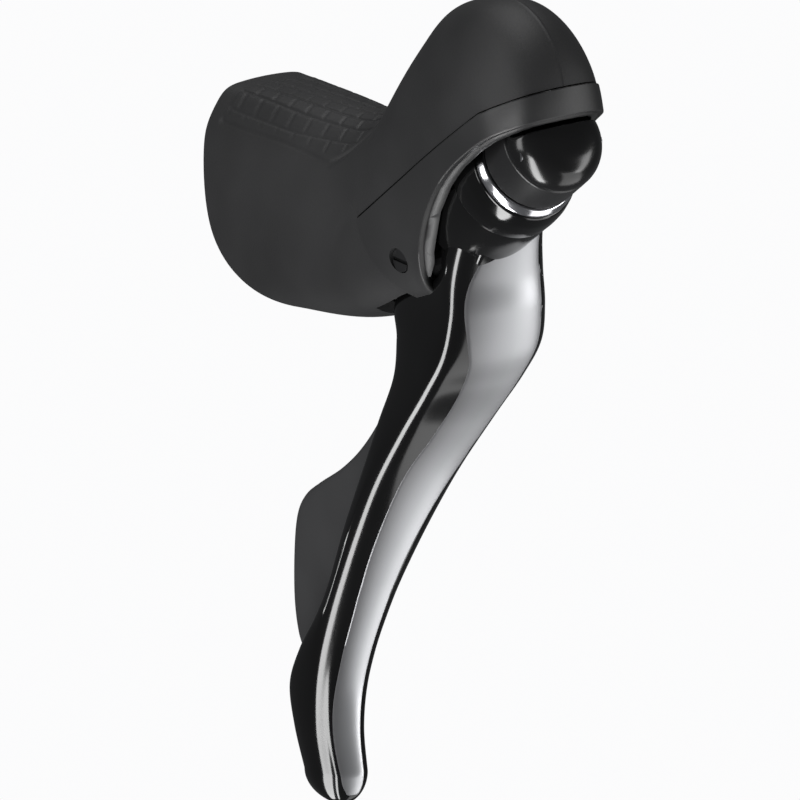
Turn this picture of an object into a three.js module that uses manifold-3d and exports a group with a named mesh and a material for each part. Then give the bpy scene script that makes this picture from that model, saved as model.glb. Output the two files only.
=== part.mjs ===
// Right-hand road-bike brake and shift lever: rubber hood, composite bracket, handlebar band clamp,
// pivoting lever carrier with a cable-winding shift unit, main lever blade and shift paddle.
// Units are millimetres. +X is forward on the bike, +Y to the rider's left, +Z up.
// The origin is the centre of the handlebar where the clamp band holds it.
import * as THREE from "three";
import { mergeVertices } from "three/addons/utils/BufferGeometryUtils.js";
import Module from "manifold-3d";

const wasm = await Module();
wasm.setup();

// ---------------------------------------------------------------- driving dimensions
const GAP = 0.3; // clearance between neighbouring pieces
const BAR_RADIUS = 12; // 24 mm handlebar
const BAR_BEND = 45; // centreline radius of the handlebar's curve
const SADDLE_RISE = deg(50); // the saddle faces the bar along a line that rises forward at this angle
const HOOD_THICKNESS = 2.2;
const PROUD = 0.3; // the bracket's bare front stands this proud of the hood
const AXLE = [56.5, 2.6]; // brake pivot, X and Z
const AXLE_RADIUS = 2.4;
const UNIT_SLOPE = deg(38); // the shift axis rises forward at this angle
const UNIT_SEAM = [87, 31.9]; // X and Z of the shift axis where the name cap meets the collar
const UNIT_RADIUS = 10.3;
const SHAFT_RADIUS = 2.5;
const SLOT_HALF = 11.8; // half-width of the bracket's slot under the brake pivot

function deg(angle) {
  return (angle * Math.PI) / 180;
}

// ---------------------------------------------------------------- solids and meshes
function solidOf(geometry, matrix) {
  const plain = new THREE.BufferGeometry();
  const source = geometry.index ? geometry.toNonIndexed() : geometry.clone();
  plain.setAttribute("position", source.getAttribute("position"));
  if (matrix) plain.applyMatrix4(matrix);
  const merged = mergeVertices(plain, 1e-4);
  const triVerts = new Uint32Array(merged.index.array);
  const vertProperties = new Float32Array(merged.attributes.position.array);
  const make = () => new wasm.Manifold(new wasm.Mesh({ numProp: 3, vertProperties, triVerts }));
  const made = make();
  if (made.volume() > 0) return made;
  for (let i = 0; i < triVerts.length; i += 3) {
    [triVerts[i + 1], triVerts[i + 2]] = [triVerts[i + 2], triVerts[i + 1]];
  }
  return make();
}

function geometryOf(solid) {
  const mesh = solid.getMesh();
  const geometry = new THREE.BufferGeometry();
  geometry.setAttribute("position", new THREE.BufferAttribute(mesh.vertProperties, 3));
  geometry.setIndex(new THREE.BufferAttribute(mesh.triVerts, 1));
  geometry.computeVertexNormals();
  return geometry;
}

function joined(...solids) {
  return solids.reduce((sum, next) => sum.add(next));
}

function cut(solid, ...tools) {
  return tools.reduce((rest, tool) => rest.subtract(tool), solid);
}

// A closed skin over rows of points; each row is a closed loop with the same number of points.
function skin(rows, { ring = false } = {}) {
  const count = rows[0].length;
  const positions = [];
  const faces = [];
  rows.forEach((row) => row.forEach((p) => positions.push(p.x, p.y, p.z)));
  const last = ring ? rows.length : rows.length - 1;
  for (let i = 0; i < last; i++) {
    for (let j = 0; j < count; j++) {
      const a = i * count + j;
      const b = i * count + ((j + 1) % count);
      const c = ((i + 1) % rows.length) * count + j;
      const d = ((i + 1) % rows.length) * count + ((j + 1) % count);
      faces.push(a, b, d, a, d, c);
    }
  }
  if (!ring) {
    [rows[0], rows[rows.length - 1]].forEach((row, end) => {
      const centre = row.reduce((sum, p) => sum.add(p), new THREE.Vector3()).divideScalar(count);
      const middle = positions.length / 3;
      positions.push(centre.x, centre.y, centre.z);
      const start = end ? (rows.length - 1) * count : 0;
      for (let j = 0; j < count; j++) {
        const next = start + ((j + 1) % count);
        if (end) faces.push(middle, start + j, next);
        else faces.push(middle, next, start + j);
      }
    });
  }
  const geometry = new THREE.BufferGeometry();
  geometry.setAttribute("position", new THREE.Float32BufferAttribute(positions, 3));
  geometry.setIndex(faces);
  return geometry;
}

// A round bar from one point to another.
function rod(from, to, radius, sides = 20) {
  const start = new THREE.Vector3(...from);
  const along = new THREE.Vector3(...to).sub(start);
  const geometry = new THREE.CylinderGeometry(radius, radius, along.length(), sides);
  const turn = new THREE.Quaternion().setFromUnitVectors(
    new THREE.Vector3(0, 1, 0),
    along.clone().normalize(),
  );
  const middle = start.addScaledVector(along, 0.5);
  return solidOf(geometry, new THREE.Matrix4().compose(middle, turn, new THREE.Vector3(1, 1, 1)));
}

// A box given by its lowest and highest corners.
function block(low, high) {
  const size = high.map((value, i) => value - low[i]);
  const middle = high.map((value, i) => (value + low[i]) / 2);
  const move = new THREE.Matrix4().makeTranslation(...middle);
  return solidOf(new THREE.BoxGeometry(...size), move);
}

// A plate: an outline of X and Z points, thick along Y from one value to the other.
function plate(outline, fromY, toY) {
  const corners = () => outline.map(([x, z]) => new THREE.Vector2(x, z));
  const shape = Array.isArray(outline) ? new THREE.Shape(corners()) : outline;
  const settings = { depth: toY - fromY, bevelEnabled: false, curveSegments: 10 };
  const geometry = new THREE.ExtrudeGeometry(shape, settings);
  const turn = new THREE.Matrix4().makeRotationX(Math.PI / 2);
  return solidOf(geometry, turn.premultiply(new THREE.Matrix4().makeTranslation(0, toY, 0)));
}

// A turned piece: a profile of radius and height points, closed on the axis or on itself, about Z.
function turned(profile, sides = 32) {
  const points = profile.map(([r, z]) => new THREE.Vector2(r, z));
  const turn = new THREE.Matrix4().makeRotationX(Math.PI / 2);
  return solidOf(new THREE.LatheGeometry(points, sides), turn);
}

function disc(radius, low, high, sides = 32) {
  return turned([[0, low], [radius, low], [radius, high], [0, high]], sides);
}

function washer(inner, outer, low, high, sides = 32) {
  return turned([[inner, low], [outer, low], [outer, high], [inner, high], [inner, low]], sides);
}

// A coil of round wire about Z.
function coil(radius, wire, low, high, turns, sides = 6) {
  class Helix extends THREE.Curve {
    getPoint(t, target = new THREE.Vector3()) {
      const angle = t * turns * 2 * Math.PI;
      return target.set(radius * Math.cos(angle), radius * Math.sin(angle), low + t * (high - low));
    }
  }
  const section = new THREE.Shape();
  for (let i = 0; i < sides; i++) {
    const angle = (i / sides) * 2 * Math.PI;
    const at = [(wire / 2) * Math.cos(angle), (wire / 2) * Math.sin(angle)];
    if (i) section.lineTo(...at);
    else section.moveTo(...at);
  }
  const settings = { steps: Math.round(turns * 12), extrudePath: new Helix(), bevelEnabled: false };
  return solidOf(new THREE.ExtrudeGeometry(section, settings));
}

// ---------------------------------------------------------------- the gripping body's outer surface
// Each station is a loop across the body: its top and bottom points in side view, how far its sides
// bow to the rear of the straight line between them, and half-widths of the flat top, the ridge
// and the side. The ridge's and the side's places are shares of the way from top to bottom.
const STATIONS = [
  { top: [-12, 21], bottom: [25, -17.2], bow: 16.8,
    flat: 9.5, flatAt: 0.01, ridge: 14, ridgeAt: 0.1, side: 17.6 },
  { top: [3.5, 22.2], bottom: [30, -17.5], bow: 12,
    flat: 8.5, flatAt: 0.02, ridge: 14.1, ridgeAt: 0.13, side: 17.6 },
  { top: [15.5, 23], bottom: [34.5, -17], bow: 6,
    flat: 7.5, flatAt: 0.03, ridge: 13.9, ridgeAt: 0.15, side: 17.3 },
  { top: [26, 23.2], bottom: [38.5, -16], bow: 3,
    flat: 7, flatAt: 0.04, ridge: 13.2, ridgeAt: 0.17, side: 16.8 },
  { top: [34.5, 24.4], bottom: [42, -14.6], bow: 1.5,
    flat: 6.5, flatAt: 0.06, ridge: 12.6, ridgeAt: 0.19, side: 16.5 },
  { top: [40.8, 31.2], bottom: [45.5, -13.2], bow: 1,
    flat: 6, flatAt: 0.08, ridge: 12, ridgeAt: 0.2, side: 16.4 },
  { top: [46.6, 42.4], bottom: [49, -11.8], bow: 0,
    flat: 5.6, flatAt: 0.085, ridge: 11.4, ridgeAt: 0.2, side: 16.2 },
  { top: [54.2, 52.6], bottom: [52, -10.4], bow: 0,
    flat: 5.6, flatAt: 0.07, ridge: 11.2, ridgeAt: 0.19, side: 16.2 },
  { top: [65, 57], bottom: [54.6, -9.2], bow: 1,
    flat: 6.4, flatAt: 0.035, ridge: 11.8, ridgeAt: 0.18, side: 16 },
  { top: [76, 59.6], bottom: [57, -8.2], bow: 3,
    flat: 7.8, flatAt: 0.05, ridge: 13.3, ridgeAt: 0.22, side: 16 },
  { top: [86, 55.6], bottom: [59, -7.3], bow: 6,
    flat: 8.4, flatAt: 0.05, ridge: 13.9, ridgeAt: 0.2, side: 15.9 },
  { top: [91.6, 47.2], bottom: [60.5, -6.6], bow: 8,
    flat: 8.4, flatAt: 0.03, ridge: 13.4, ridgeAt: 0.15, side: 15.8 },
  { top: [92.4, 39.4], bottom: [61, -6], bow: 9,
    flat: 8.8, flatAt: 0.025, ridge: 13.4, ridgeAt: 0.13, side: 15.7 },
];

// One station's half loop as rows of half-width and share of the way down.
function halfLoop({ flat, flatAt, ridge, ridgeAt, side }) {
  return [
    [0, 0],
    [flat * 0.55, flatAt * 0.3],
    [flat, flatAt],
    [(flat + ridge) / 2, (flatAt + ridgeAt) * 0.47],
    [ridge, ridgeAt],
    [ridge + (side - ridge) * 0.35, ridgeAt + 0.07],
    [side, 0.45],
    [side * 0.99, 0.7],
    [side * 0.92, 0.88],
    [side * 0.62, 0.985],
    [0, 1],
  ];
}

function controlLoop(station) {
  const down = new THREE.Vector2(
    station.bottom[0] - station.top[0],
    station.bottom[1] - station.top[1],
  );
  const back = new THREE.Vector2(down.y, -down.x).normalize();
  const half = halfLoop(station).map(([across, share]) => {
    const bow = station.bow * Math.sin(Math.PI * share);
    const x = station.top[0] + down.x * share + back.x * bow;
    const z = station.top[1] + down.y * share + back.y * bow;
    return new THREE.Vector3(x, -across, z);
  });
  const other = half.slice(1, -1).reverse().map((p) => new THREE.Vector3(p.x, -p.y, p.z));
  return [...half, ...other];
}

// Weights of the four control points around a place on a uniform cubic B-spline.
function weights(t) {
  const s = 1 - t;
  return [s ** 3, 3 * t ** 3 - 6 * t ** 2 + 4, 3 * s ** 3 - 6 * s ** 2 + 4, t ** 3].map((w) => w / 6);
}

function blended(points, place, pick) {
  const base = Math.floor(place);
  const sum = new THREE.Vector3();
  weights(place - base).forEach((w, k) => sum.addScaledVector(pick(points, base + k), w));
  return sum;
}

const LOOPS = STATIONS.map(controlLoop);
const clamped = (list, i) => list[Math.min(Math.max(i - 2, 0), list.length - 1)];
const wrapped = (list, i) => list[(i - 1 + list.length) % list.length];

// The loop of control points at a share v of the way from the rear rim to the front rim.
function loopAt(v) {
  const place = v * (LOOPS.length + 1);
  const safe = Math.min(place, LOOPS.length + 1 - 1e-9);
  return LOOPS[0].map((_, j) => blended(LOOPS.map((loop) => loop[j]), safe, clamped));
}

function bodyRows(along, around, from = 0, to = 1) {
  const rows = [];
  for (let i = 0; i <= along; i++) {
    const loop = loopAt(from + ((to - from) * i) / along);
    const row = [];
    for (let j = 0; j < around; j++) row.push(blended(loop, (j / around) * loop.length, wrapped));
    rows.push(row);
  }
  return rows;
}

// The same rows moved inwards along their normals.
function inset(rows, depth) {
  const count = rows[0].length;
  return rows.map((row, i) =>
    row.map((p, j) => {
      const along = rows[Math.min(i + 1, rows.length - 1)][j].clone().sub(rows[Math.max(i - 1, 0)][j]);
      const around = row[(j + 1) % count].clone().sub(row[(j + count - 1) % count]);
      const normal = around.cross(along).normalize();
      return p.clone().addScaledVector(normal, -depth);
    }),
  );
}

// ---------------------------------------------------------------- regions of the gripping body
// Side-view outline of the bracket's bare front: above it the crease under the horn, behind it
// the hood's lower edge.
function bareFront(shrink) {
  const shape = new THREE.Shape();
  shape.moveTo(108, 54.2 - shrink);
  shape.lineTo(91.4, 44.8 - shrink);
  shape.lineTo(81.7, 39.3 - shrink);
  shape.lineTo(43.5 + shrink, 8.5 - shrink);
  shape.bezierCurveTo(45 + shrink, 3, 50 + shrink, -1.5, 62 + shrink, -9.5);
  shape.lineTo(66, -30);
  shape.lineTo(120, -30);
  shape.closePath();
  return plate(shape, -40, 40);
}

// The handlebar with a clearance, as a ring that bends down through the clamp.
function handlebar(clearance) {
  const ring = new THREE.TorusGeometry(BAR_BEND, BAR_RADIUS + clearance, 24, 56);
  const turn = new THREE.Matrix4().makeRotationX(Math.PI / 2);
  const away = new THREE.Matrix4().makeTranslation(
    -BAR_BEND * Math.cos(SADDLE_RISE),
    0,
    -BAR_BEND * Math.sin(SADDLE_RISE),
  );
  return solidOf(ring, away.multiply(turn));
}

// The hollow that holds the lever carrier, from the front rim back to a wall behind the pivot.
function cavityRegion() {
  return plate([[42, -40], [42, 21], [48, 34], [57, 50], [66, 70], [120, 70], [120, -40]], -40, 40);
}

function openSlot() {
  return block([44, -SLOT_HALF, -40], [80, SLOT_HALF, 7]);
}

// ---------------------------------------------------------------- clamp
// The clamp's own frame: its X leaves the bar, and its Z runs up along the bar.
const CLAMP = new THREE.Matrix4().makeRotationY(-SADDLE_RISE);
const NUT_AT = 18.2;
const NUT_RADIUS = 3.2;
const BAND_THICKNESS = 1;
const BAND_HALF = 5;
const BOLT_TURN = deg(75); // how far the clamp bolt turns outwards from the saddle's normal

// A teardrop around the bar and the barrel nut, in the clamp's own X and Y.
function teardrop(barRadius, nutRadius) {
  const lean = Math.asin((barRadius - nutRadius) / NUT_AT);
  const touch = Math.PI / 2 - lean;
  const shape = new THREE.Shape();
  shape.absarc(0, 0, barRadius, touch, 2 * Math.PI - touch, false);
  shape.absarc(NUT_AT, 0, nutRadius, -touch, touch, false);
  shape.closePath();
  return shape;
}

function teardropSolid(grow, half) {
  const shape = teardrop(BAR_RADIUS + GAP + grow, NUT_RADIUS + GAP + grow);
  const settings = { depth: 2 * half, bevelEnabled: false, curveSegments: 20 };
  const geometry = new THREE.ExtrudeGeometry(shape, settings).translate(0, 0, -half);
  return solidOf(geometry, CLAMP);
}

function clampPoint(along, across, up) {
  return new THREE.Vector3(along, across, up).applyMatrix4(CLAMP).toArray();
}

// A point on the clamp bolt's axis, measured outwards from the barrel nut's centre.
function boltPoint(distance) {
  return clampPoint(NUT_AT + distance * Math.cos(BOLT_TURN), -distance * Math.sin(BOLT_TURN), 0);
}

function clampBand() {
  const strap = cut(teardropSolid(BAND_THICKNESS, BAND_HALF), teardropSolid(0, BAND_HALF + 1));
  return cut(strap, rod(boltPoint(0), boltPoint(9), 2.4));
}

function clampNut() {
  const barrel = rod(clampPoint(NUT_AT, 0, -4.4), clampPoint(NUT_AT, 0, 4.4), NUT_RADIUS, 24);
  return cut(barrel, rod(boltPoint(-6), boltPoint(6), 2.3, 16));
}

function clampBolt() {
  const shank = rod(boltPoint(-2.4), boltPoint(7), 2, 16);
  const head = rod(boltPoint(6.6), boltPoint(8.9), 3.3, 24);
  const socket = rod(boltPoint(7.4), boltPoint(10), 2, 6);
  return cut(joined(shank, head), socket);
}

function bandPocket() {
  return cut(teardropSolid(BAND_THICKNESS + GAP, BAND_HALF + GAP), teardropSolid(-GAP, BAND_HALF + 2));
}

// ---------------------------------------------------------------- cable passages
const CABLES = { brake: [7, 14.5], shift: [11, 5] }; // Y and Z of each casing's passage
const STOP_FROM = 18;
const STOP_TO = 21;

function cablePassage([across, up]) {
  const casing = rod([-20, across, up], [STOP_TO + GAP, across, up], 2.9, 16);
  const inner = rod([STOP_TO, across, up], [50, across * 0.5, up], 1.1, 8);
  return joined(casing, inner);
}

function casingStop([across, up]) {
  const cup = rod([STOP_FROM, across, up], [STOP_TO, across, up], 2.6, 20);
  return cut(cup, rod([STOP_FROM - 1, across, up], [STOP_TO + 1, across, up], 0.9, 10));
}

// ---------------------------------------------------------------- hood and bracket
const SHELL_GRID = [22, 32]; // steps along and around the hood and the bracket's core
const HOLLOW_GRID = [14, 24];

function bodySolid(depth, extend = 0, grid = SHELL_GRID) {
  const rows = inset(bodyRows(...grid), depth);
  if (extend) {
    const rear = rows[0].map((p) => p.clone().add(new THREE.Vector3(-extend, 0, -extend * 0.9)));
    rows.unshift(rear);
    const ahead = new THREE.Vector3(extend, 0, -extend);
    const front = rows[rows.length - 1].map((p) => p.clone().add(ahead));
    rows.push(front);
  }
  return solidOf(skin(rows));
}

function hoodCover() {
  const shell = cut(bodySolid(0), bodySolid(HOOD_THICKNESS, 14));
  const headPocket = rod(boltPoint(6.3), boltPoint(8.9 + GAP), 3.3 + GAP, 20);
  return cut(shell, bareFront(0), openSlot(), handlebar(1), bandPocket(), headPocket);
}

function bracketBody() {
  const core = cut(bodySolid(HOOD_THICKNESS + GAP), rearTrim());
  const bare = bodySolid(-PROUD).intersect(bareFront(GAP));
  const deepHollow = bodySolid(4.3, 10, HOLLOW_GRID).intersect(cavityRegion());
  const inFront = cavityRegion().intersect(bareFront(-1.5));
  const frontHollow = bodySolid(2.6, 10, HOLLOW_GRID).intersect(inFront);
  const boltHole = joined(
    rod(boltPoint(0), boltPoint(12), 2.3, 16),
    rod(boltPoint(6.3), boltPoint(30), 3.7, 20),
  );
  const nutPocket = rod(clampPoint(NUT_AT, 0, -4.8), clampPoint(NUT_AT, 0, 4.8), NUT_RADIUS + GAP, 24);
  return cut(
    joined(core, bare),
    deepHollow,
    frontHollow,
    openSlot(),
    handlebar(GAP),
    bandPocket(),
    nutPocket,
    boltHole,
    cablePassage(CABLES.brake),
    cablePassage(CABLES.shift),
    axleBar(AXLE_RADIUS + 0.1, 30),
    swingRelief(),
    rod([AXLE[0], -13.9, -20], [AXLE[0], -13.9, AXLE[1]], 1.3, 12),
  );
}

// The inner lip is cut back under the rim, which leaves the lever room to swing inwards.
function swingRelief() {
  return plate([[60.2, -30], [60.2, 6], [64.5, 13.5], [70, 20], [80, 20], [80, -30]], 9, 25);
}

// The bracket stops short of the hood's rear rim, on a plane square to the saddle's line.
function rearTrim() {
  const slab = new THREE.BoxGeometry(40, 60, 90).translate(-20 + 6, 0, 0);
  return solidOf(slab, CLAMP);
}

function axleBar(radius, half) {
  return rod([AXLE[0], -half, AXLE[1]], [AXLE[0], half, AXLE[1]], radius, 24);
}

function leverAxle() {
  const pin = axleBar(AXLE_RADIUS, 14.9);
  return cut(pin, block([AXLE[0] - 3, -20, AXLE[1] - 0.4], [AXLE[0] + 3, -14.2, AXLE[1] + 0.4]));
}

// ---------------------------------------------------------------- shift unit, in its own frame
// Its Z runs along the shift axis to the front, X points forward and down, and Y is the row's Y.
const unit = new THREE.Group();
unit.position.set(UNIT_SEAM[0], 0, UNIT_SEAM[1]);
unit.rotation.y = Math.PI / 2 - UNIT_SLOPE;
unit.updateMatrix();
const TO_UNIT = unit.matrix.clone().invert();

function inUnit(x, y, z) {
  return new THREE.Vector3(x, y, z).applyMatrix4(TO_UNIT);
}

const AXLE_IN_UNIT = inUnit(AXLE[0], 0, AXLE[1]);
const HOOK_IN_UNIT = inUnit(AXLE[0] - 7, 0, AXLE[1] + 10.6);
const HUB = { low: -19.6, high: -13.9, radius: 12 };

function mainShaft() {
  return turned([[0, -38.4], [SHAFT_RADIUS, -38.4], [SHAFT_RADIUS, -1.2], [0, -1.2]], 20);
}

function shaftNut() {
  return washer(3.2, 4.8, -3.8, -1.6, 6);
}

const COLLAR_LOW = -9;
function unitCollar() {
  const profile = [
    [2.8, COLLAR_LOW], [9.9, COLLAR_LOW], [UNIT_RADIUS, COLLAR_LOW + 0.4], [UNIT_RADIUS, -GAP],
    [8.8, -GAP], [8.8, COLLAR_LOW + 1.6], [2.8, COLLAR_LOW + 1.6], [2.8, COLLAR_LOW],
  ];
  return turned(profile, 40);
}

const CAP_TOP = 6.2;
// The cap's upper part stays within this radius of the brake pivot, to pass under the rim.
const CAP_SWEEP = 44.5;
function nameCap() {
  const profile = [
    [0, 0], [UNIT_RADIUS, 0], [UNIT_RADIUS - 0.1, 1.6], [9.6, 3.7],
    [8.4, 5.2], [6.4, 6], [4, CAP_TOP], [0, CAP_TOP],
  ];
  const dome = turned(profile, 36);
  const { x, z } = AXLE_IN_UNIT;
  const sweep = rod([x, -20, z], [x, 20, z], CAP_SWEEP, 120);
  const above = cut(block([-20, -20, -1], [-1.6, 20, 12]), sweep);
  const trim = block([-20, -20, -1], [-8.6, 20, 10]);
  const hollow = turned([[0, -1], [8.4, -1], [7.8, 2.6], [5, 3.4], [0, 3.6]], 24);
  return cut(dome, trim, above, hollow, capScrewHole(1), capScrewHole(-1));
}

function capScrewHole(side) {
  return rod([2, side * 6, 2], [2, side * 14, 2], 1.3, 12);
}

function capScrew(side) {
  return rod([2, side * 7.2, 2], [2, side * 9.7, 2], 1, 12);
}

function returnSpring() {
  return coil(6, 1.1, -13.1, -9.75, 3);
}

function hubTrimRing() {
  const low = HUB.high + GAP;
  const high = COLLAR_LOW - GAP;
  return turned([[8.2, low], [11.6, low], [11.3, low + 2], [10.4, high], [8.2, high], [8.2, low]], 40);
}

function windingDrum() {
  const profile = [
    [2.8, -30.6], [8.6, -30.6], [8.6, -29.6], [7.2, -28.6], [7.2, -26.6],
    [8.6, -25.6], [8.6, -24.4], [2.8, -24.4], [2.8, -30.6],
  ];
  const anchor = rod([4.6, 4.6, -31], [4.6, 4.6, -27.5], 1.2, 10);
  return cut(turned(profile, 28), anchor);
}

const TEETH = 18;
const RATCHET = { low: -24, high: -22.1 };
function ratchetWheel() {
  const shape = new THREE.Shape();
  for (let i = 0; i < TEETH; i++) {
    const start = (i / TEETH) * 2 * Math.PI;
    const root = [6.9 * Math.cos(start), 6.9 * Math.sin(start)];
    if (i) shape.lineTo(...root);
    else shape.moveTo(...root);
    const tip = start + (0.8 / TEETH) * 2 * Math.PI;
    shape.lineTo(8.1 * Math.cos(tip), 8.1 * Math.sin(tip));
  }
  shape.closePath();
  const hole = new THREE.Path();
  hole.absarc(0, 0, 2.8, 0, 2 * Math.PI, true);
  shape.holes.push(hole);
  const settings = { depth: RATCHET.high - RATCHET.low, bevelEnabled: false, curveSegments: 8 };
  return solidOf(new THREE.ExtrudeGeometry(shape, settings).translate(0, 0, RATCHET.low));
}

// A pawl: a small arm from its pin's place towards the ratchet's teeth.
function pawl({ pin, tip }) {
  const arm = new THREE.Vector2(tip[0] - pin[0], tip[1] - pin[1]);
  const side = new THREE.Vector2(-arm.y, arm.x).normalize();
  const shape = new THREE.Shape();
  shape.moveTo(pin[0] + side.x * 1.5, pin[1] + side.y * 1.5);
  shape.lineTo(tip[0] + side.x * 0.4, tip[1] + side.y * 0.4);
  shape.lineTo(tip[0] - side.x * 0.4, tip[1] - side.y * 0.4);
  shape.lineTo(pin[0] - side.x * 1.5, pin[1] - side.y * 1.5);
  shape.closePath();
  const { low, high } = RATCHET;
  const geometry = new THREE.ExtrudeGeometry(shape, { depth: high - low, bevelEnabled: false });
  const eye = rod([...pin, low], [...pin, high], 1.7, 14);
  const body = joined(solidOf(geometry.translate(0, 0, low)), eye);
  return cut(body, rod([...pin, low - 1], [...pin, high + 1], 0.9, 12));
}

const DRIVE_PAWL = { pin: [-10, 2.2], tip: [-7, 6] };
const HOLD_PAWL = { pin: [-6.4, -8.6], tip: [-1.2, -9] };
const PIN_RADIUS = 0.8;

// Two cheeks from the brake axle to the shift unit's back plate, with the cable hook's eyes.
function leverCarrier() {
  const cheekOutline = new THREE.Shape();
  const [ax, az] = [AXLE_IN_UNIT.x, AXLE_IN_UNIT.z];
  const [hx, hz] = [HOOK_IN_UNIT.x, HOOK_IN_UNIT.z];
  cheekOutline.moveTo(5, -34.2);
  cheekOutline.lineTo(5, -37.2);
  cheekOutline.absarc(ax, az, 5.2, deg(60), deg(-130), true);
  cheekOutline.absarc(hx, hz, 4.4, deg(-100), deg(-200), true);
  cheekOutline.lineTo(-16.8, -37);
  cheekOutline.lineTo(-16.8, -34.2);
  cheekOutline.closePath();
  const cheeks = [
    plate(cheekOutline, -7.8, -5.4),
    plate(cheekOutline, 5.4, 7.8),
  ];
  const bosses = [
    rod([ax, -11.1, az], [ax, -7, az], 5, 24),
    rod([ax, 7, az], [ax, 11.1, az], 5, 24),
  ];
  const back = joined(disc(6.1, -37, -34.2, 28), block([-16.8, -7, -37], [2, 7, -34.2]));
  const shaftBore = disc(SHAFT_RADIUS + 0.2, -45, -20, 20);
  const holdPost = joined(
    rod([...HOLD_PAWL.pin, -37], [...HOLD_PAWL.pin, RATCHET.low - 0.2], 1.2, 12),
    rod([...HOLD_PAWL.pin, -36], [...HOLD_PAWL.pin, RATCHET.high], PIN_RADIUS, 12),
  );
  const bore = rod([ax, -20, az], [ax, 20, az], 3.9, 24);
  const hookBore = rod([hx, -20, hz], [hx, 20, hz], 1.9, 16);
  const screwBore = rod([-14.6, 0, -45], [-14.6, 0, -25], 1.9, 14);
  return cut(joined(...cheeks, ...bosses, back, holdPost), shaftBore, bore, hookBore, screwBore);
}

function axleBush(side) {
  const [ax, az] = [AXLE_IN_UNIT.x, AXLE_IN_UNIT.z];
  const sleeve = rod([ax, side * 5.4, az], [ax, side * 11.1, az], 3.6, 24);
  return cut(sleeve, rod([ax, -20, az], [ax, 20, az], AXLE_RADIUS + 0.1, 24));
}

// The barrel that holds the brake cable's end; it swivels between the cheeks on its two journals.
function cableHook() {
  const { x, z } = HOOK_IN_UNIT;
  const barrel = rod([x, -5, z], [x, 5, z], 3.3, 20);
  const journals = rod([x, -7.6, z], [x, 7.6, z], 1.6, 14);
  const slot = block([x - 5, -0.9, z - 5], [x + 0.6, 0.9, z + 5]);
  const seat = rod([x, -3.2, z], [x, 3.2, z], 2, 14);
  const front = block([x + 0.6, -9, z - 6], [x + 9, 9, z + 6]);
  return cut(joined(barrel, journals), cut(joined(slot, seat), front));
}

function reachScrew() {
  const screw = joined(
    rod([-14.6, 0, -42.4], [-14.6, 0, -31], 1.6, 14),
    rod([-14.6, 0, -33.6], [-14.6, 0, -31], 2.4, 16),
  );
  return cut(screw, rod([-14.6, 0, -32.4], [-14.6, 0, -30], 1.2, 6));
}

function brakeReturnSpring() {
  const wound = coil(3.4, 1, -4.4, 4.4, 5, 6);
  const turn = new THREE.Matrix4().makeRotationX(Math.PI / 2);
  turn.premultiply(new THREE.Matrix4().makeTranslation(AXLE[0], 0, AXLE[1]));
  const leg = rod([AXLE[0] + 3.4, 4.4, AXLE[1]], [AXLE[0] + 3, 4.4, AXLE[1] - 4.6], 0.5, 6);
  return joined(solidOf(geometryOf(wound), turn), leg);
}

// ---------------------------------------------------------------- main lever blade
// Level slices down the blade. crest is the rounded front-outer corner, in X and Y; across is the
// face's width; outer and inner are how far the two flanks reach back from the face.
const SLICES = [
  { z: 15, crest: [73.2, -8.6], across: 17.4, outer: 8, inner: 6 },
  { z: 8, crest: [70.4, -9.8], across: 19.6, outer: 7.6, inner: 5 },
  { z: 0, crest: [68.6, -10.4], across: 21.6, outer: 6.2, inner: 4.6 },
  { z: -8, crest: [68.4, -10.9], across: 22.8, outer: 20, inner: 4.6 },
  { z: -16, crest: [66.8, -11.6], across: 23.8, outer: 17.4, inner: 4.6 },
  { z: -24, crest: [62.2, -12.4], across: 23.6, outer: 12.6, inner: 4.6 },
  { z: -34, crest: [55.6, -13.4], across: 22.2, outer: 9.6, inner: 4.6 },
  { z: -46, crest: [48.6, -14.7], across: 20, outer: 6.6, inner: 4.4 },
  { z: -58, crest: [43.4, -15.9], across: 17.4, outer: 5.6, inner: 4.2 },
  { z: -70, crest: [39, -17], across: 15, outer: 4.8, inner: 4.2 },
  { z: -78, crest: [36.6, -17.8], across: 13.8, outer: 5.9, inner: 4.4 },
  { z: -86, crest: [34.8, -18.6], across: 12.8, outer: 8.8, inner: 5 },
  { z: -94, crest: [34.2, -19.3], across: 11.8, outer: 10.8, inner: 6 },
  { z: -102, crest: [35.2, -19.9], across: 11, outer: 9.2, inner: 6 },
  { z: -110, crest: [37.4, -19.8], across: 10.2, outer: 8, inner: 5.6 },
];
const TIP_LOW = -116.6;
const BLADE_WALL = 2.4;

function sliceAt(z) {
  const i = Math.max(0, SLICES.findIndex((s, k) => k < SLICES.length - 1 && z >= SLICES[k + 1].z));
  const near = (k) => SLICES[Math.min(Math.max(k, 0), SLICES.length - 1)];
  const [a, b, c, d] = [i - 1, i, i + 1, i + 2].map(near);
  const t = (b.z - z) / (b.z - c.z);
  const mix = (f) => {
    const [p0, p1, p2, p3] = [a, b, c, d].map(f);
    const m1 = (p2 - p0) / 2;
    const m2 = (p3 - p1) / 2;
    const [t2, t3] = [t * t, t * t * t];
    const ends = (2 * t3 - 3 * t2 + 1) * p1 + (3 * t2 - 2 * t3) * p2;
    return ends + (t3 - 2 * t2 + t) * m1 + (t3 - t2) * m2;
  };
  return {
    crest: [mix((s) => s.crest[0]), mix((s) => s.crest[1])],
    across: mix((s) => s.across),
    outer: mix((s) => s.outer),
    inner: mix((s) => s.inner),
  };
}

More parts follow.
